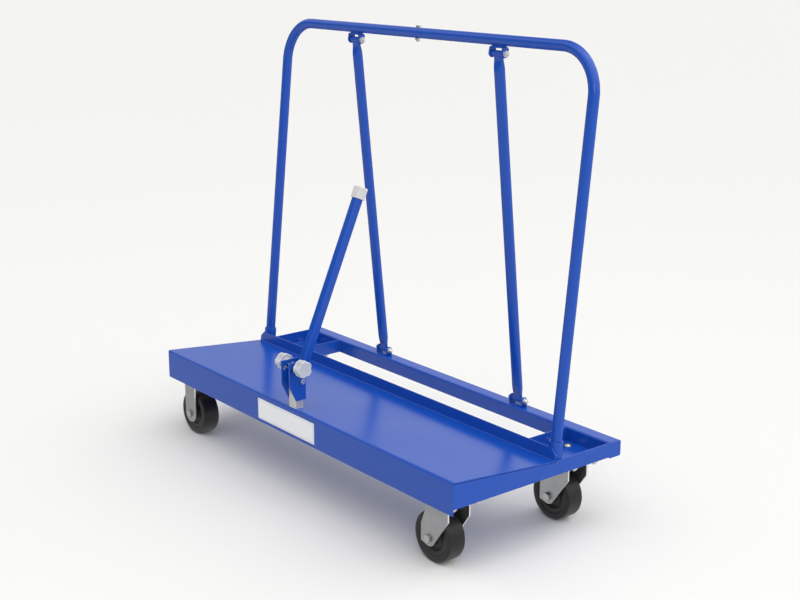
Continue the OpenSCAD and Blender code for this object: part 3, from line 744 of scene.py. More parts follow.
def long_plate(bottom, top, seam=0.0, lap=0.0):
    """A plate across X = 0 that follows the deck's underside, a seam below it, and steps up behind it."""
    step_y = FOLD_Y + SHEET + 1 * MM
    back_y = RAIL_Y + lap
    outline = [(SHEET, bottom), (back_y, bottom), (back_y, top), (step_y, top),
               (step_y, deck_under_z(step_y) - seam), (2 * SHEET, deck_under_z(2 * SHEET) - seam),
               (SHEET, deck_under_z(SHEET) - SHEET - seam)]
    mesh = plate([outline], SHEET)
    mesh.transform(at(0, FRONT, 0) @ IN_YZ)
    return mesh


def build_chassis():
    painted("deck_sheet", deck_sheet(), "deck_pan")
    side = long_plate(SIDE_BOTTOM, SIDE_TOP_BACK, 1.3 * MM, 0.7 * MM)
    cross = long_plate(FLOOR_UNDER, RAIL_TOP)
    for name, sign in SIDES.items():
        outer = at(sign * (HALF_LEN - SHEET / 2), 0, 0)
        painted(f"side_skirt_{name}", moved(side, outer), f"side_plate_{name}")
        painted(f"cross_plate_{name}", moved(cross, at(sign * CROSS_X, 0, 0)), f"cross_member_{name}")
        painted(f"caster_shelf_{name}", [caster_shelf(sign)], f"caster_floor_{name}")
    wall = 3 * MM
    rim = round_rect(RAIL, RAIL, RAIL_CORNER)
    tube = plate([rim, round_rect(RAIL - 2 * wall, RAIL - 2 * wall, 1.5 * MM)],
                 2 * (HALF_LEN - SHEET), 0.2 * MM)
    rail_place = at(0, FRONT + RAIL_Y + RAIL / 2, RAIL_TOP - RAIL / 2) @ IN_YZ
    painted("rear_rail_tube", moved(tube, rail_place), "rear_rail")
    end = plate([rim], SHEET, 0.6 * MM)
    ends = moved(end, *[at(sign * (HALF_LEN - SHEET / 2), 0, 0) @ rail_place for sign in (1, -1)])
    painted("rail_ends", ends, "rail_end_caps")
    bearer_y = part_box("rear_bearer")[0].y - FRONT
    rib = plate([[(SHEET, FLOOR_TOP), (bearer_y, FLOOR_TOP), (bearer_y, deck_under_z(bearer_y)),
                  (2 * SHEET, deck_under_z(2 * SHEET)), (SHEET, deck_under_z(SHEET) - SHEET)]], SHEET)
    rib_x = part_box("deck_ribs")[1].x - SHEET / 2
    ribs = moved(rib, *[at(sign * rib_x, FRONT, 0) @ IN_YZ for sign in (1, -1)])
    painted("under_ribs", ribs, "deck_ribs")
    half = CROSS_X - SHEET / 2
    back = bearer_y + SHEET
    bearer = plate([[(bearer_y, FLOOR_TOP), (back, FLOOR_TOP), (back, deck_under_z(back)),
                     (bearer_y, deck_under_z(bearer_y))]], 2 * half)
    painted("under_bearer", moved(bearer, at(0, FRONT, 0) @ IN_YZ), "rear_bearer")


def caster_bolt_places(x, y):
    return [(x + dx, y + dy) for dx in (-BOLT_DX, BOLT_DX) for dy in (-BOLT_DY, BOLT_DY)]


def bolt_hole(x, y):
    return ring_points(x, y, M10_R + 0.5 * MM, 24)


def caster_shelf(sign):
    lo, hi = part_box("caster_floor_right")
    outline = [(lo.x, lo.y), (hi.x, lo.y), (hi.x, hi.y), (lo.x, hi.y)]
    holes = [bolt_hole(*spot) for cy in CASTER_Y.values() for spot in caster_bolt_places(CASTER_X, cy)]
    mesh = plate([outline] + holes, hi.z - lo.z)
    mesh.transform(at(0, 0, (hi.z + lo.z) / 2))
    return mesh if sign > 0 else moved(mesh, MIRROR_X)[0]


def build_label():
    lo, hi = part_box("skirt_label")
    centre = (lo + hi) / 2
    w, h, t = hi.x - lo.x, hi.z - lo.z, hi.y - lo.y
    place = at(centre.x, lo.y + t / 2, centre.z) @ turn(90, "X")
    face = plate([round_rect(w, h, 2 * MM)], t, 0.1 * MM)
    piece("blank_label", "chassis", LABEL, moved(face, place), ["skirt_label"])
    gap, line = 3 * MM, 0.8 * MM
    outer_w, outer_h = w - 2 * gap, h - 2 * gap
    keyline = plate([round_rect(outer_w, outer_h, 1.6 * MM),
                     round_rect(outer_w - 2 * line, outer_h - 2 * line, 1.2 * MM)], 0.08 * MM, 0.02 * MM)
    proud = at(0, -t / 2 - 0.02 * MM, 0)
    piece("label_keyline", "chassis", INK, moved(keyline, proud @ place))


# ---- back frame ----

def build_back_frame():
    lip = 0.8 * MM
    bore = TUBE_R + 0.15 * MM
    height = (SOCKET_TOP - PLANE_Z) / math.cos(LEAN)
    foot = (FLOOR_TOP - 2 * MM - PLANE_Z) / math.cos(LEAN)
    socket = lathe([(bore, foot), (SOCKET_R, foot), (SOCKET_R, height - lip)]
                   + arc(SOCKET_R - lip, height - lip, lip, 0, 90, 4)
                   + [(bore + 0.3 * MM, height), (bore, height - 0.3 * MM)], 64)
    for name, sign in SIDES.items():
        painted(f"socket_{name}", moved(socket, FRAME_PLANE @ at(sign * POST_X, 0, 0)), f"post_socket_{name}")
        half = moved(frame_half(), FRAME_PLANE @ Matrix.Scale(sign, 4, (1, 0, 0)))
        painted(f"frame_half_{name}", half, f"frame_tube_{name}")
    top = FRAME_PLANE @ at(JOINT_BOLT_X, 0, FRAME_H)
    head = hex_head(M8_HEX, M8_HEAD)
    shank = threaded(M8_R, -TUBE_R - M8_NUT - BOLT_END, TUBE_R, M8_PITCH)
    bolt = moved(head, top @ at(0, 0, TUBE_R)) + moved(flipped(shank), top)
    plated("joint_bolt", BOLT, bolt, "frame_joint_bolt")
    nut = moved(hex_nut(M8_HEX, M8_NUT, M8_R), top @ at(0, 0, -TUBE_R) @ turn(180, "X"))
    plated("joint_nut", BOLT, nut, "frame_joint_nut")


def flipped(mesh):
    """Turns a bar end for end, about its own middle, so that its chamfer is at the low end."""
    zs = [v.co.z for v in mesh.vertices]
    return moved(mesh, at(0, 0, min(zs) + max(zs)) @ turn(180, "X"))[0]


def frame_half():
    """The right half of the inverted U, in the frame plane, with a fine gap at the joint."""
    foot, gap, chamfer = -27 * MM, 0.15 * MM, 0.5 * MM
    bend_x, bend_h = POST_X - BEND_R, FRAME_H - BEND_R
    points = [(POST_X, 0, foot), (POST_X, 0, foot + chamfer)]
    points += [(POST_X, 0, foot + (bend_h - foot) * k / 24) for k in range(1, 24)]
    points += [(x, 0, z) for x, z in arc(bend_x, bend_h, BEND_R, 0, 90, 32)]
    points += [(bend_x * (1 - k / 16), 0, FRAME_H) for k in range(1, 16)]
    points += [(gap + chamfer, 0, FRAME_H), (gap, 0, FRAME_H)]
    radii = [TUBE_R] * len(points)
    radii[0] = radii[-1] = TUBE_R - chamfer
    return sweep(points, radii, 56)


# ---- braces ----

def brace_places():
    """Matrices of the lower and upper pivots, on both sides."""
    foot = at(0, FRONT + RAIL_Y + RAIL / 2, RAIL_TOP + BRACE_FOOT_RISE)
    top = FRAME_PLANE @ at(0, 0, FRAME_H - BRACE_TOP_DROP)
    return foot, top


def bracket_mesh(base):
    """A U bracket that hangs from its base, with round ends about the pivot and bores for its bolt."""
    outline = [(-EAR_R, base + 1 * MM), (EAR_R, base + 1 * MM)] + arc(0, 0, EAR_R, 0, -180, 20)
    past = EAR_R + 2 * MM
    bent = pressed_u(outline, (-past, past), (EAR_GAP, EAR_T), 5.5 * MM, (-past, base))
    bore = prism(ring_points(0, 0, M8_R + 0.25 * MM), -40 * MM, 40 * MM)
    bore.transform(turn(90, "X"))
    return moved(boolean(bent, bore, "DIFFERENCE"), turn(90, "Z"))[0]


def saddle_mesh():
    """The narrow block between a top bracket and the tube it hangs from."""
    reach = BRACE_TOP_DROP - math.sqrt(TUBE_R ** 2 - SADDLE_HALF ** 2) + 0.5 * MM
    block = prism(round_rect(2 * EAR_GAP, 2 * SADDLE_HALF, 1.5 * MM), BRACKET_TOP - 1 * MM, reach)
    return bevelled(block, 0.4 * MM, 50)


def bush_ring(radius, bore, half, e):
    """A sleeve about Z with its outer edges cut off by e."""
    return lathe([(bore, -half), (radius - e, -half), (radius, e - half), (radius, half - e),
                  (radius - e, half), (bore, half)], 48)


def brace_mesh(length):
    """A round tube whose two ends are pressed flat and carry cross bushes."""
    flat, round_from = 16 * MM, 44 * MM
    half_wide, half_thick = 14 * MM, 5 * MM
    steps = 56
    stops = [3 * MM, 9 * MM, flat] + [flat + (round_from - flat) * k / 10 for k in range(1, 11)]
    stops += [round_from + (length / 2 - round_from) * k / 10 for k in range(1, 11)]
    stops += [length - z for z in reversed(stops[:-1])]
    loops = []
    for z in stops:
        near = min(z, length - z)
        share = min(1, max(0, (near - flat) / (round_from - flat)))
        share = 0.5 * share + 0.5 * share * share * (3 - 2 * share)
        a = half_wide + (TUBE_R - half_wide) * share
        b = half_thick + (TUBE_R - half_thick) * share
        power = 2 / (4.5 - 2.5 * share)
        loop = []
        for i in range(steps):
            t = TAU * i / steps
            c, s = math.cos(t), math.sin(t)
            loop.append((a * math.copysign(abs(c) ** power, c), b * math.copysign(abs(s) ** power, s), z))
        loops.append(loop)
    bush = bush_ring(BUSH_R, M8_R + 0.25 * MM, EAR_GAP - 0.3 * MM, 0.6 * MM)
    return [loops_to_mesh(loops)] + moved(bush, Z_TO_X, at(0, 0, length) @ Z_TO_X)


def build_braces():
    foot, top = brace_places()
    foot_at, top_at = foot.translation, top.translation
    span = top_at - foot_at
    place = foot @ Matrix.Rotation(math.atan2(-span.y, span.z), 4, "X")
    brace = brace_mesh(span.length)
    upper = bracket_mesh(BRACKET_TOP)
    saddle = saddle_mesh()
    lower = moved(bracket_mesh(BRACE_FOOT_RISE), turn(180, "Y"))[0]
    for name, sign in SIDES.items():
        x = at(sign * BRACE_X, 0, 0)
        painted(f"brace_tube_{name}", [m for part in brace for m in moved(part, x @ place)], f"brace_{name}")
        hanging = moved(upper, x @ top) + moved(saddle, x @ top)
        painted(f"upper_bracket_{name}", hanging, f"top_bracket_{name}")
        painted(f"lower_bracket_{name}", moved(lower, x @ foot), f"bottom_bracket_{name}")
    places = [at(sign * BRACE_X, 0, 0) @ m for sign in (1, -1) for m in (foot, top)]
    face = EAR_OUT + WASHER_T
    head = moved(hex_head(M8_HEX, M8_HEAD), at(-face, 0, 0) @ Z_TO_MINUS_X)[0]
    shank = moved(threaded(M8_R, -face, face + M8_NUT + BOLT_END, M8_PITCH), Z_TO_X)[0]
    plated("pivot_bolts", BOLT, moved(head, *places) + moved(shank, *places), "brace_bolts")
    nut = moved(hex_nut(M8_HEX, M8_NUT, M8_R), at(face, 0, 0) @ Z_TO_X)[0]
    plated("pivot_nuts", BOLT, moved(nut, *places), "brace_nuts")
    ring = washer(WASHER_R, M8_R + 0.1 * MM, WASHER_T)
    rings = moved(ring, at(EAR_OUT, 0, 0) @ Z_TO_X, at(-EAR_OUT, 0, 0) @ Z_TO_MINUS_X)
    plated("pivot_washers", BOLT, [m for r in rings for m in moved(r, *places)], "brace_washers")


# ---- clamp ----

def slot_outline():
    """The arc slot about the pivot, as (y, z) from it."""
    slot_r, half, back, front = 44 * MM, 4.6 * MM, 98, 133
    end = (slot_r * math.cos(math.radians(front)), slot_r * math.sin(math.radians(front)))
    start = (slot_r * math.cos(math.radians(back)), slot_r * math.sin(math.radians(back)))
    return (arc(0, 0, slot_r + half, back, front, 12) + arc(*end, half, front, front + 180, 10)[1:]
            + arc(0, 0, slot_r - half, front, back, 12)[1:]
            + arc(*start, half, back + 180, back + 360, 10)[1:-1])


def foot_mesh(y, depth, top):
    """An upright block with round corners, cut to the deck's slope at its foot."""
    rim = [(x, y + dy) for x, dy in round_rect(2 * FOOT_HALF - 0.1 * MM, depth, 4 * MM, 8)]
    return loops_to_mesh([[(x, yy, deck_z(yy - FRONT)) for x, yy in rim], [(x, yy, top) for x, yy in rim]])


def build_clamp_base():
    lo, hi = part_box("clamp_foot")
    y0, y1 = lo.y - FRONT, hi.y - FRONT
    block = foot_mesh(FRONT + (y0 + y1) / 2, y1 - y0, hi.z)
    piece("foot_block", "chassis", FOOT, [block], ["clamp_foot"])
    middle = (y0 + y1) / 2
    on_deck = at(0, FRONT + middle, deck_z(middle)) @ Matrix.Rotation(-SLOPE, 4, "X")
    bolt = moved(hex_head(M10_HEX, M10_HEAD), on_deck @ at(0, 0, -SHEET) @ turn(180, "X"))
    bolt += moved(threaded(M10_R, -SHEET - 1 * MM, 30 * MM, M10_PITCH), on_deck)
    plated("foot_bolt", BOLT, bolt, "clamp_foot_bolt")
    front, back = cheek_lo.y - PIVOT.y, cheek_hi.y - PIVOT.y
    low, high = cheek_lo.z - PIVOT.z, cheek_hi.z - PIVOT.z
    chamfer_y, chamfer_z = FRONT + 4 * MM - PIVOT.y, CHEEK_CHAMFER_Z - PIVOT.z
    rim = [(front, chamfer_z), (chamfer_y, low), (back, low), (back, high), (front, high)]
    cheek = plate([rim, slot_outline(), ring_points(0, 0, M8_R + 0.25 * MM)], CHEEK_T, 0.6 * MM)
    for name, sign in SIDES.items():
        x = at(sign * (FOOT_HALF + CHEEK_T / 2), PIVOT.y, PIVOT.z)
        painted(f"cheek_{name}", moved(cheek, x @ IN_YZ), f"clamp_cheek_{name}")
    out = FOOT_HALF + CHEEK_T
    bolt = moved(hex_head(M8_HEX, M8_HEAD), AT_PIVOT @ at(out, 0, 0) @ Z_TO_X)
    bolt += moved(threaded(M8_R, -out, out + M8_NUT + BOLT_END, M8_PITCH), AT_PIVOT @ Z_TO_MINUS_X)
    plated("pivot_bolt", BOLT, bolt, "clamp_pivot_bolt")
    nut = moved(hex_nut(M8_HEX, M8_NUT, M8_R), AT_PIVOT @ at(-out, 0, 0) @ Z_TO_MINUS_X)
    plated("pivot_nut", BOLT, nut, "clamp_pivot_nut")


def cross_bush(bore, half):
    return moved(bush_ring(9 * MM, bore, half, 0.5 * MM), Z_TO_X)[0]


def build_arm():
    tube_low = 4 * MM
    inner = ARM_W - 4 * MM
    tube = plate([round_rect(ARM_W, ARM_W, 3.2 * MM), round_rect(inner, inner, 1.4 * MM)],
                 ARM_LEN - tube_low, 0.3 * MM)
    rod_at = ARM_PLACE.inverted() @ ROD
    bush = cross_bush(M8_R + 0.2 * MM, FOOT_HALF - 0.3 * MM)
    nose = cross_bush(M8_R + 0.1 * MM, 5 * MM)
    root = 1 * MM - ARM_W / 2
    lug = plate([[(rod_at.y, rod_at.z - 8 * MM), (root, rod_at.z - 9 * MM),
                  (root, rod_at.z + 9 * MM), (rod_at.y, rod_at.z + 8 * MM)]], 10 * MM, 0.5 * MM)
    parts = moved(tube, at(0, 0, (ARM_LEN + tube_low) / 2)) + [bush] + moved(nose, at(0, rod_at.y, rod_at.z))
    parts += moved(lug, IN_YZ)
    arm = [m for part in parts for m in moved(part, ARM_PLACE)]
    piece("arm_tube", "arm", BLUE, arm, ["clamp_arm"])
    piece("arm_end_cap", "arm", CAP, moved(cap_mesh(), ARM_PLACE), ["arm_cap"])
    plain = FOOT_HALF + 1 * MM
    end = threaded(M8_R, plain, KNOB_FAR - 4 * MM, M8_PITCH)
    rod = moved(polar([(-plain, M8_R), (plain, M8_R)], 40), AT_ROD @ Z_TO_X)
    rod += moved(end, AT_ROD @ Z_TO_X, AT_ROD @ Z_TO_MINUS_X)
    plated("cross_rod", BOLT, rod, "clamp_rod", body="arm")
    near = cheek_hi.x + 0.3 * MM
    ring = washer(WIDE_WASHER_R, M8_R + 0.1 * MM, WASHER_T)
    rings = moved(ring, AT_ROD @ at(near, 0, 0) @ Z_TO_X, AT_ROD @ at(-near, 0, 0) @ Z_TO_MINUS_X)
    plated("knob_washers", BOLT, rings, "rod_washers", body="arm")


def cap_mesh():
    """A thick square cap over the arm's end, open at its lower side."""
    half = ARM_W / 2 + 3 * MM
    corner = 3.4 * MM
    low, high = ARM_LEN + 4 * MM - CAP_LEN, ARM_LEN + 4 * MM
    edge = 3 * MM
    steps = offsets(low, ARM_W / 2, (2, 0.1), (0, 0.3)) + offsets(low, half, (0, -0.7), (0.2, -0.2), (0.7, 0))
    steps.append(((low + high) / 2, half))
    steps += [(z, r) for r, z in arc(half - edge, high - edge, edge, 0, 90, 6)]
    loops = []
    for z, reach in steps:
        r = max(1.2 * MM, corner - (half - reach) * 0.8)
        loops.append([(x, y, z) for x, y in round_rect(2 * reach, 2 * reach, r, 6)])
    return loops_to_mesh(loops)


def knob_mesh():
    """A five-lobed star knob that turns about Z, scalloped for the fingers, with its outer face up."""
    lobe_r, groove_r, lobes, first_groove = 21.9 * MM, 20 * MM, 5, math.radians(70)
    sharpness = 1 / (0.45 * MM)

    def star(depth, inset=0.0):
        groove_at = lobe_r - depth + groove_r

        def radius(a):
            turned = (a - first_groove + math.pi / lobes) % (TAU / lobes) - math.pi / lobes
            across = groove_at * math.sin(turned)
            if abs(across) >= groove_r:
                return lobe_r - inset
            groove = groove_at * math.cos(turned) - math.sqrt(groove_r ** 2 - across ** 2)
            blend = math.exp(-sharpness * lobe_r) + math.exp(-sharpness * groove)
            return -math.log(blend) / sharpness - inset
        return radius

    thick = KNOB_FAR - KNOB_NEAR
    rim, face_rim = 1.6 * MM, 2.2 * MM
    back_depth, scoop_depth, face_depth = 2.0 * MM, 5.2 * MM, 2.8 * MM
    boss_r = 11 * MM
    boss_z = cheek_hi.x + 0.6 * MM + WASHER_T - KNOB_NEAR
    rings = [(boss_z, M8_R + 1.2 * MM), (boss_z, boss_r - 0.8 * MM), (boss_z + 0.8 * MM, boss_r),
             (1.0 * MM, boss_r + 0.8 * MM), (1.0 * MM, 13.2 * MM), (0.0, 14 * MM)]
    for t in (0, 22, 45, 68, 90):
        c, k = math.cos(math.radians(t)), math.sin(math.radians(t))
        rings.append((rim - rim * c, star(back_depth, rim - rim * k)))
    low, high = rim + 1 * MM, thick - face_rim - 0.5 * MM
    for k in range(17):
        share = min(1, 3 * math.sin(math.pi * k / 16))
        edge = back_depth + (face_depth - back_depth) * k / 16
        rings.append((low + (high - low) * k / 16, star(edge + (scoop_depth - edge) * share)))
    for t in (0, 15, 30, 45, 60, 75, 90):
        c, k = math.cos(math.radians(t)), math.sin(math.radians(t))
        rings.append((thick - face_rim + face_rim * k, star(face_depth, face_rim - face_rim * c)))
    rings.append((thick - 0.5 * MM, star(face_depth, 3.2 * MM)))
    rings += offsets(thick, 0, (-0.5, 3), (-0.8, 2.4))
    return polar(rings, 180)


def build_knobs():
    knob = knob_mesh()
    for name, sign in SIDES.items():
        place = AT_ROD @ Matrix.Scale(sign, 4, (1, 0, 0)) @ IN_YZ @ at(0, 0, KNOB_NEAR)
        piece(f"star_knob_{name}", f"knob_{name}", KNOB, moved(knob, place), [f"knob_{name}"])


# ---- casters ----

def caster_plate(x, y):
    holes = [bolt_hole(*spot) for spot in caster_bolt_places(0, 0)]
    mesh = plate([round_rect(108 * MM, 100 * MM, 8 * MM)] + holes, PLATE_T, 0.6 * MM)
    return moved(mesh, at(x, y, PLATE_UNDER + PLATE_T / 2))


def build_top_plates():
    """Swivel plates with the pressed cup of the ball race and its dust ring under them."""
    low = CROWN_TOP + 0.35 * MM
    step = CROWN_TOP + 6 * MM
    race = lathe(offsets(0, low, (8.1, 0), (24, 0), (26, 0.6), (27, 2))
                 + offsets(0, step, (27, -1), (28.5, 0), (30, 0.4), (31, 1.4))
                 + offsets(0, PLATE_UNDER, (31, -2), (33, 0), (33, 1), (8.1, 1)), 72)
    for end, y in CASTER_Y.items():
        meshes = caster_plate(CASTER_X, y) + moved(race, at(CASTER_X, y, 0))
        plated(f"swivel_plate_{end}", ZINC, meshes, f"top_plate_{end}_right")
    under = CROWN_TOP - CROWN_T - 0.3 * MM
    pin = polar(offsets(under, 0, (-8, 9.5), (-7.2, 11.4), (-5, 12.6), (-1.5, 13), (0, 12.4), (0, 8))
                + offsets(FLOOR_UNDER, 0, (-0.1, 8)), 48)
    plated("swivel_pins", BOLT, moved(pin, *[at(CASTER_X, y, 0) for y in CASTER_Y.values()]), "kingpins")


def swivel_leg_outline():
    """Side view of the raked fork, as (x, z) from the kingpin, with a round end and a corner behind it."""
    rake_z, waist_z = 122 * MM, 92 * MM
    dx, dz = CROWN_FRONT + TRAIL, rake_z - AXLE_Z
    touch = math.degrees(math.atan2(dz, dx) - math.acos(LEG_END_R / math.hypot(dx, dz)))
    back = math.degrees(math.atan2(-LEG_CORNER, -LEG_BACK)
                        + math.acos(LEG_END_R / math.hypot(LEG_BACK, LEG_CORNER)))
    soft = 2.5 * MM
    return ([(-TRAIL - LEG_BACK, waist_z), (CROWN_BACK, CROWN_TOP), (CROWN_FRONT, CROWN_TOP)]
            + arc(CROWN_FRONT - soft, rake_z + soft / 2, soft, 0, -40, 5)
            + arc(-TRAIL, AXLE_Z, LEG_END_R, touch, back, 24)
            + arc(soft - TRAIL - LEG_BACK, AXLE_Z - LEG_CORNER + soft / 2, soft, 245, 180, 4))


def fork_mesh(outline, top, x0, x1):
    return pressed_u(outline, (x0, x1), (LEG_IN, CROWN_T), 8 * MM, (AXLE_Z - 40 * MM, top))


def axle_meshes(x, y):
    """The axle bolt's head, with its washer face, in front of the fork, its lock nut behind, and the shank
    between.
    """
    forward = at(x, y, AXLE_Z) @ turn(90, "X")
    backward = at(x, y, AXLE_Z) @ turn(-90, "X")
    parts = moved(hex_head(M12_HEX, M12_HEAD), forward @ at(0, 0, LEG_OUT) @ turn(12, "Z"))
    parts += moved(hex_nut(M12_HEX, M12_NUT, M12_R), backward @ at(0, 0, LEG_OUT) @ turn(20, "Z"))
    parts += moved(threaded(M12_R, LEG_OUT, LEG_OUT + M12_NUT + BOLT_END, M12_PITCH), backward)
    parts += moved(polar([(-LEG_OUT, M12_R), (LEG_OUT, M12_R)], 40), backward)
    return parts


def build_forks():
    outline = swivel_leg_outline()
    fork = fork_mesh(outline, CROWN_TOP, -TRAIL - LEG_BACK - 2 * MM, CROWN_FRONT + 2 * MM)
    high = PLATE_UNDER + 0.5 * MM
    strap = [(-STRAP_HALF, high), (STRAP_HALF, high)] + arc(0, AXLE_Z, STRAP_HALF, 0, -180, 28)
    fixed = fork_mesh(strap, high, -STRAP_HALF - 2 * MM, STRAP_HALF + 2 * MM)
    for end, y in CASTER_Y.items():
        body = f"swivel_{end}"
        plated(f"pressed_fork_{end}", FORK, moved(fork, at(CASTER_X, y, 0)),
               f"swivel_fork_{end}_right", body=body)
        plated(f"swivel_axle_{end}", AXLE, axle_meshes(CASTER_X - TRAIL, y), f"axle_{end}_right", body=body)
    for end, y in CASTER_Y.items():
        meshes = caster_plate(-CASTER_X, y) + moved(fixed, at(-CASTER_X, y, 0))
        plated(f"rigid_fork_{end}", FORK, meshes, f"fixed_fork_{end}_left")
    axles = [m for y in CASTER_Y.values() for m in axle_meshes(-CASTER_X, y)]
    plated("rigid_axles", AXLE, axles, "fixed_axles")


def tyre_mesh():
    """Tread with a slight crown, round shoulders and shallow rings on both sidewalls."""
    r, h = WHEEL_R, TYRE_HALF
    half = [(r, 0), (r - 0.1 * MM, h - 7 * MM)] + arc(r - 4.4 * MM, h - 4.2 * MM, 4 * MM, 8, 72, 8)
    half += offsets(r, h, (-6, -0.2), (-8.6, 0), (-9.2, -0.7), (-10.4, -0.7), (-11, -0.1),
                    (-15, -0.3), (-16, -1.2), (-17, -2.4))
    half += offsets(CORE_R, h, (5, -2.8), (3, -3), (0, -3.4))
    return lathe(half + [(rr, -z) for rr, z in reversed(half[1:])], 128)


def core_mesh():
    """Rim, shallow dish with pressed rings, and a long hub with bearing covers."""
    rim, web = 21.2 * MM, 15 * MM
    half = offsets(CORE_R, rim, (0, 0), (-0.6, 0.3), (-2.6, 0.2), (-3.8, -0.8))
    half += offsets(CORE_R, web, (-5.2, 3.4), (-7.0, 1.8))
    half += offsets(0, web, (27, 1.0), (26, 0.2), (24.4, 0.2), (23.4, 1.0), (20.6, 1.6), (18.2, 4))
    half += offsets(0, HUB_HALF, (17, -5), (16.4, -3.6), (14.6, -3.2), (14.2, -2.4), (11, -2.2),
                    (10.4, -0.6), (9.6, 0), (6.1, 0))
    return lathe(half + [(r, -z) for r, z in reversed(half)], 96)


def build_wheels():
    tyre, core = tyre_mesh(), core_mesh()
    for side, sign in SIDES.items():
        for end, y in CASTER_Y.items():
            x = sign * CASTER_X - (TRAIL if sign > 0 else 0)
            place = at(x, y, AXLE_Z) @ turn(90, "X")
            body = f"wheel_{end}_{side}"
            piece(f"rubber_tyre_{end}_{side}", body, RUBBER, moved(tyre, place),
                  [f"tyre_{end}_{side}"])
            piece(f"hub_core_{end}_{side}", body, CORE, moved(core, place),
                  [f"wheel_core_{end}_{side}"])


def build_caster_bolts():
    dome_r, dome_h = 12 * MM, 6 * MM
    ball = (dome_r ** 2 + dome_h ** 2) / (2 * dome_h)
    reach = math.asin(0.86 * dome_r / ball)
    rings = offsets(0, dome_r, (0, -0.4), (0.4, 0), (1.2, 0), (1.6, -0.6))
    for k in range(8, 0, -1):
        t = reach * k / 8
        rings.append((dome_h - ball + ball * math.cos(t), ball * math.sin(t)))
    dome = polar(rings, 48)
    tail = flipped(threaded(M10_R, PLATE_UNDER - M10_NUT - BOLT_END, FLOOR_TOP, M10_PITCH))
    nut = moved(hex_nut(M10_HEX, M10_NUT, M10_R), turn(180, "X"))[0]
    centres = [(sign * CASTER_X, y) for sign in (1, -1) for y in CASTER_Y.values()]
    spots = [spot for centre in centres for spot in caster_bolt_places(*centre)]
    bolts, nuts = [], []
    for k, (x, y) in enumerate(spots):
        bolts += moved(dome, at(x, y, FLOOR_TOP)) + moved(tail, at(x, y, 0))
        nuts += moved(nut, at(x, y, PLATE_UNDER) @ turn(17 * k, "Z"))
    plated("carriage_bolts", AXLE, bolts, "caster_bolts")
    plated("plate_nuts", BOLT, nuts, "caster_nuts")


# ---- welds ----

def build_welds():
    """Painted beads where sheet, tube and brackets meet."""
    rail_front = FRONT + RAIL_Y
    step = FOLD_Y + SHEET + 4 * MM
    low, high = FLOOR_TOP + 3 * MM, RAIL_TOP - 3 * MM
    size = 1.8 * MM
    beads = []
    for sign in (1, -1):
        for x in (sign * (CROSS_X - SHEET / 2), sign * (CROSS_X + SHEET / 2)):
            beads.append(bead([(x, rail_front, low), (x, rail_front, high)], size))
        inner, cross = sign * (HALF_LEN - SHEET), sign * (CROSS_X + SHEET / 2)
        beads.append(bead([(inner, rail_front, low), (inner, rail_front, high)], size))
        for x, start in ((inner, FRONT + step + 30 * MM), (cross, FRONT + step)):
            beads.append(bead([(x, start, FLOOR_TOP), (x, rail_front - 4 * MM, FLOOR_TOP)], size))
        floor_h = (FLOOR_TOP - PLANE_Z) / math.cos(LEAN)
        beads.append(ring_bead((sign * POST_X, 0, floor_h + 0.2 * MM), SOCKET_R, FRAME_PLANE))
    piece("chassis_welds", "chassis", WELD, beads)
    foot, top = brace_places()
    reach = Vector((EAR_GAP - 2 * MM, 0, 0))
    beads = []
    for sign in (1, -1):
        x = sign * BRACE_X
        for side in (-1, 1):
            lower = foot @ at(x, side * EAR_R, 0.5 * MM - BRACE_FOOT_RISE)
            beads.append(bead([lower @ -reach, lower @ reach], 1.7 * MM))
            upper = top @ at(x, side * SADDLE_HALF, BRACKET_TOP + 3.2 * MM)
            beads.append(bead([upper @ -reach, upper @ reach], 2.2 * MM))
    piece("bracket_welds", "chassis", WELD, beads)


# ---- stage ----

# The studio dome is brighter above, to the right and behind, apart from a dim patch high up behind the cart.
# What shines from below is darker behind. The camera itself sees an even pale backdrop.
AZIMUTH = math.radians(51.03)
BEHIND = (-math.sin(AZIMUTH), math.cos(AZIMUTH), 0)
SKY_BASE, SKY_LEAST = 0.22, 0.05
SKY_PULL = (0.30, 0.50, 2.00)
GAP_UP = math.radians(57)
BACKDROP = 0.91


def build_floor():
    bpy.ops.mesh.primitive_circle_add(vertices=96, radius=60, fill_type="NGON", location=(0, 0, -0.5 * MM))
    floor = bpy.context.object
    floor.name = "studio_floor"
    material = bpy.data.materials.new("studio_floor")
    material.use_nodes = True
    shader = material.node_tree.nodes["Principled BSDF"]
    shader.inputs["Base Color"].default_value = (0.765, 0.76, 0.745, 1)
    shader.inputs["Roughness"].default_value = 0.9
    shader.inputs["Specular IOR Level"].default_value = 0.1
    floor.data.materials.append(material)
    floor.visible_glossy = False


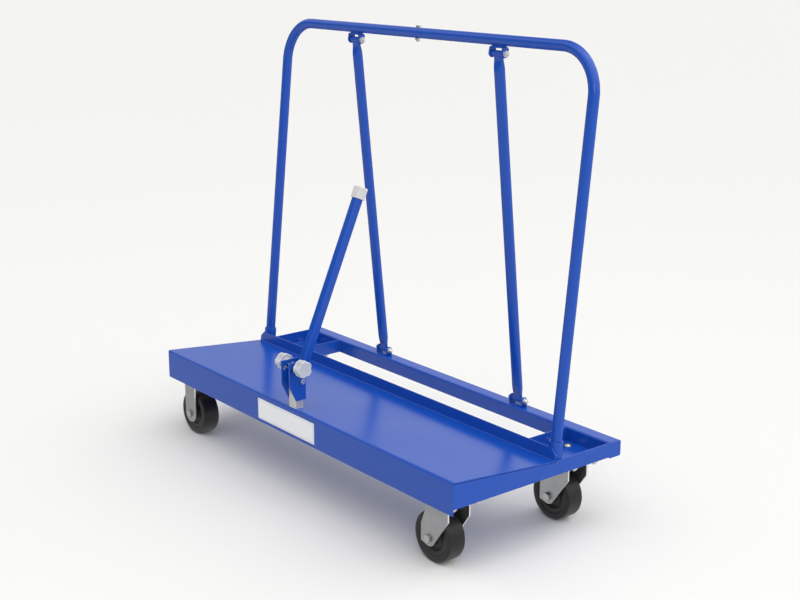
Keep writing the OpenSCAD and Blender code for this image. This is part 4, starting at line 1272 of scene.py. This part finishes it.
def build_sky():
    world = bpy.data.worlds.new("studio")
    bpy.context.scene.world = world
    world.use_nodes = True
    sky = Graph(world.node_tree)
    direction = sky.nodes.new("ShaderNodeTexCoord").outputs["Generated"]
    upper = sky.maths("MAXIMUM", sky.maths("ADD", sky.dot(direction, SKY_PULL), SKY_BASE), SKY_LEAST)
    patch = (BEHIND[0] * math.cos(GAP_UP), BEHIND[1] * math.cos(GAP_UP), math.sin(GAP_UP))
    dimmed = sky.maths("MULTIPLY", upper, sky.span(sky.dot(direction, patch), 0.79, 0.92, 1.0, 0.15))
    lower = sky.span(sky.dot(direction, BEHIND), 0.3, 0.9, 0.80, 0.10)
    shine = sky.blend(sky.span(sky.axis(direction, "Z"), -0.03, 0.10), lower, dimmed)
    seen = sky.nodes.new("ShaderNodeLightPath").outputs["Is Camera Ray"]
    background = sky.nodes["Background"].inputs
    sky.feed(background["Strength"], sky.blend(seen, shine, BACKDROP))
    sky.feed(background["Color"], (1, 1, 1, 1))


def disk_light(name, size, watts, place):
    """A round soft light that points at the middle of the cart."""
    data = bpy.data.lights.new(name, "AREA")
    data.shape = "DISK"
    data.size = size
    data.energy = watts
    light = as_object(name, data)
    light.location = place
    aim = Vector((0, 0, 0.4)) - light.location
    light.rotation_euler = aim.to_track_quat("-Z", "Y").to_euler()


def build_camera():
    """The view from the front right: a long lens a little above the top of the frame."""
    data = bpy.data.cameras.new("camera")
    data.sensor_width = 36
    data.lens = 60.22
    camera = as_object("camera", data)
    elevation, roll = math.radians(15.16), math.radians(0.2)
    camera.matrix_world = (at(2.6676, -2.0678, 1.3939) @ Matrix.Rotation(AZIMUTH, 4, "Z")
                           @ Matrix.Rotation(math.pi / 2 - elevation, 4, "X") @ Matrix.Rotation(roll, 4, "Z"))
    bpy.context.scene.camera = camera
    bpy.context.scene.view_settings.view_transform = "Standard"


def finish_cad_nodes():
    """The spigot stays as it is in CAD, with a steel finish."""
    spigot = frame["nodes"]["frame_spigot"]
    spigot.data.materials.clear()
    spigot.data.materials.append(ZINC)


build_chassis()
build_label()
build_back_frame()
build_braces()
build_clamp_base()
build_arm()
build_knobs()
build_top_plates()
build_forks()
build_wheels()
build_caster_bolts()
build_welds()
finish_cad_nodes()
build_floor()
build_sky()
disk_light("overhead", 2.2, 12, (0.5, 0.6, 4.0))
disk_light("key", 0.7, 10, (3.1, -1.9, 2.1))
build_camera()
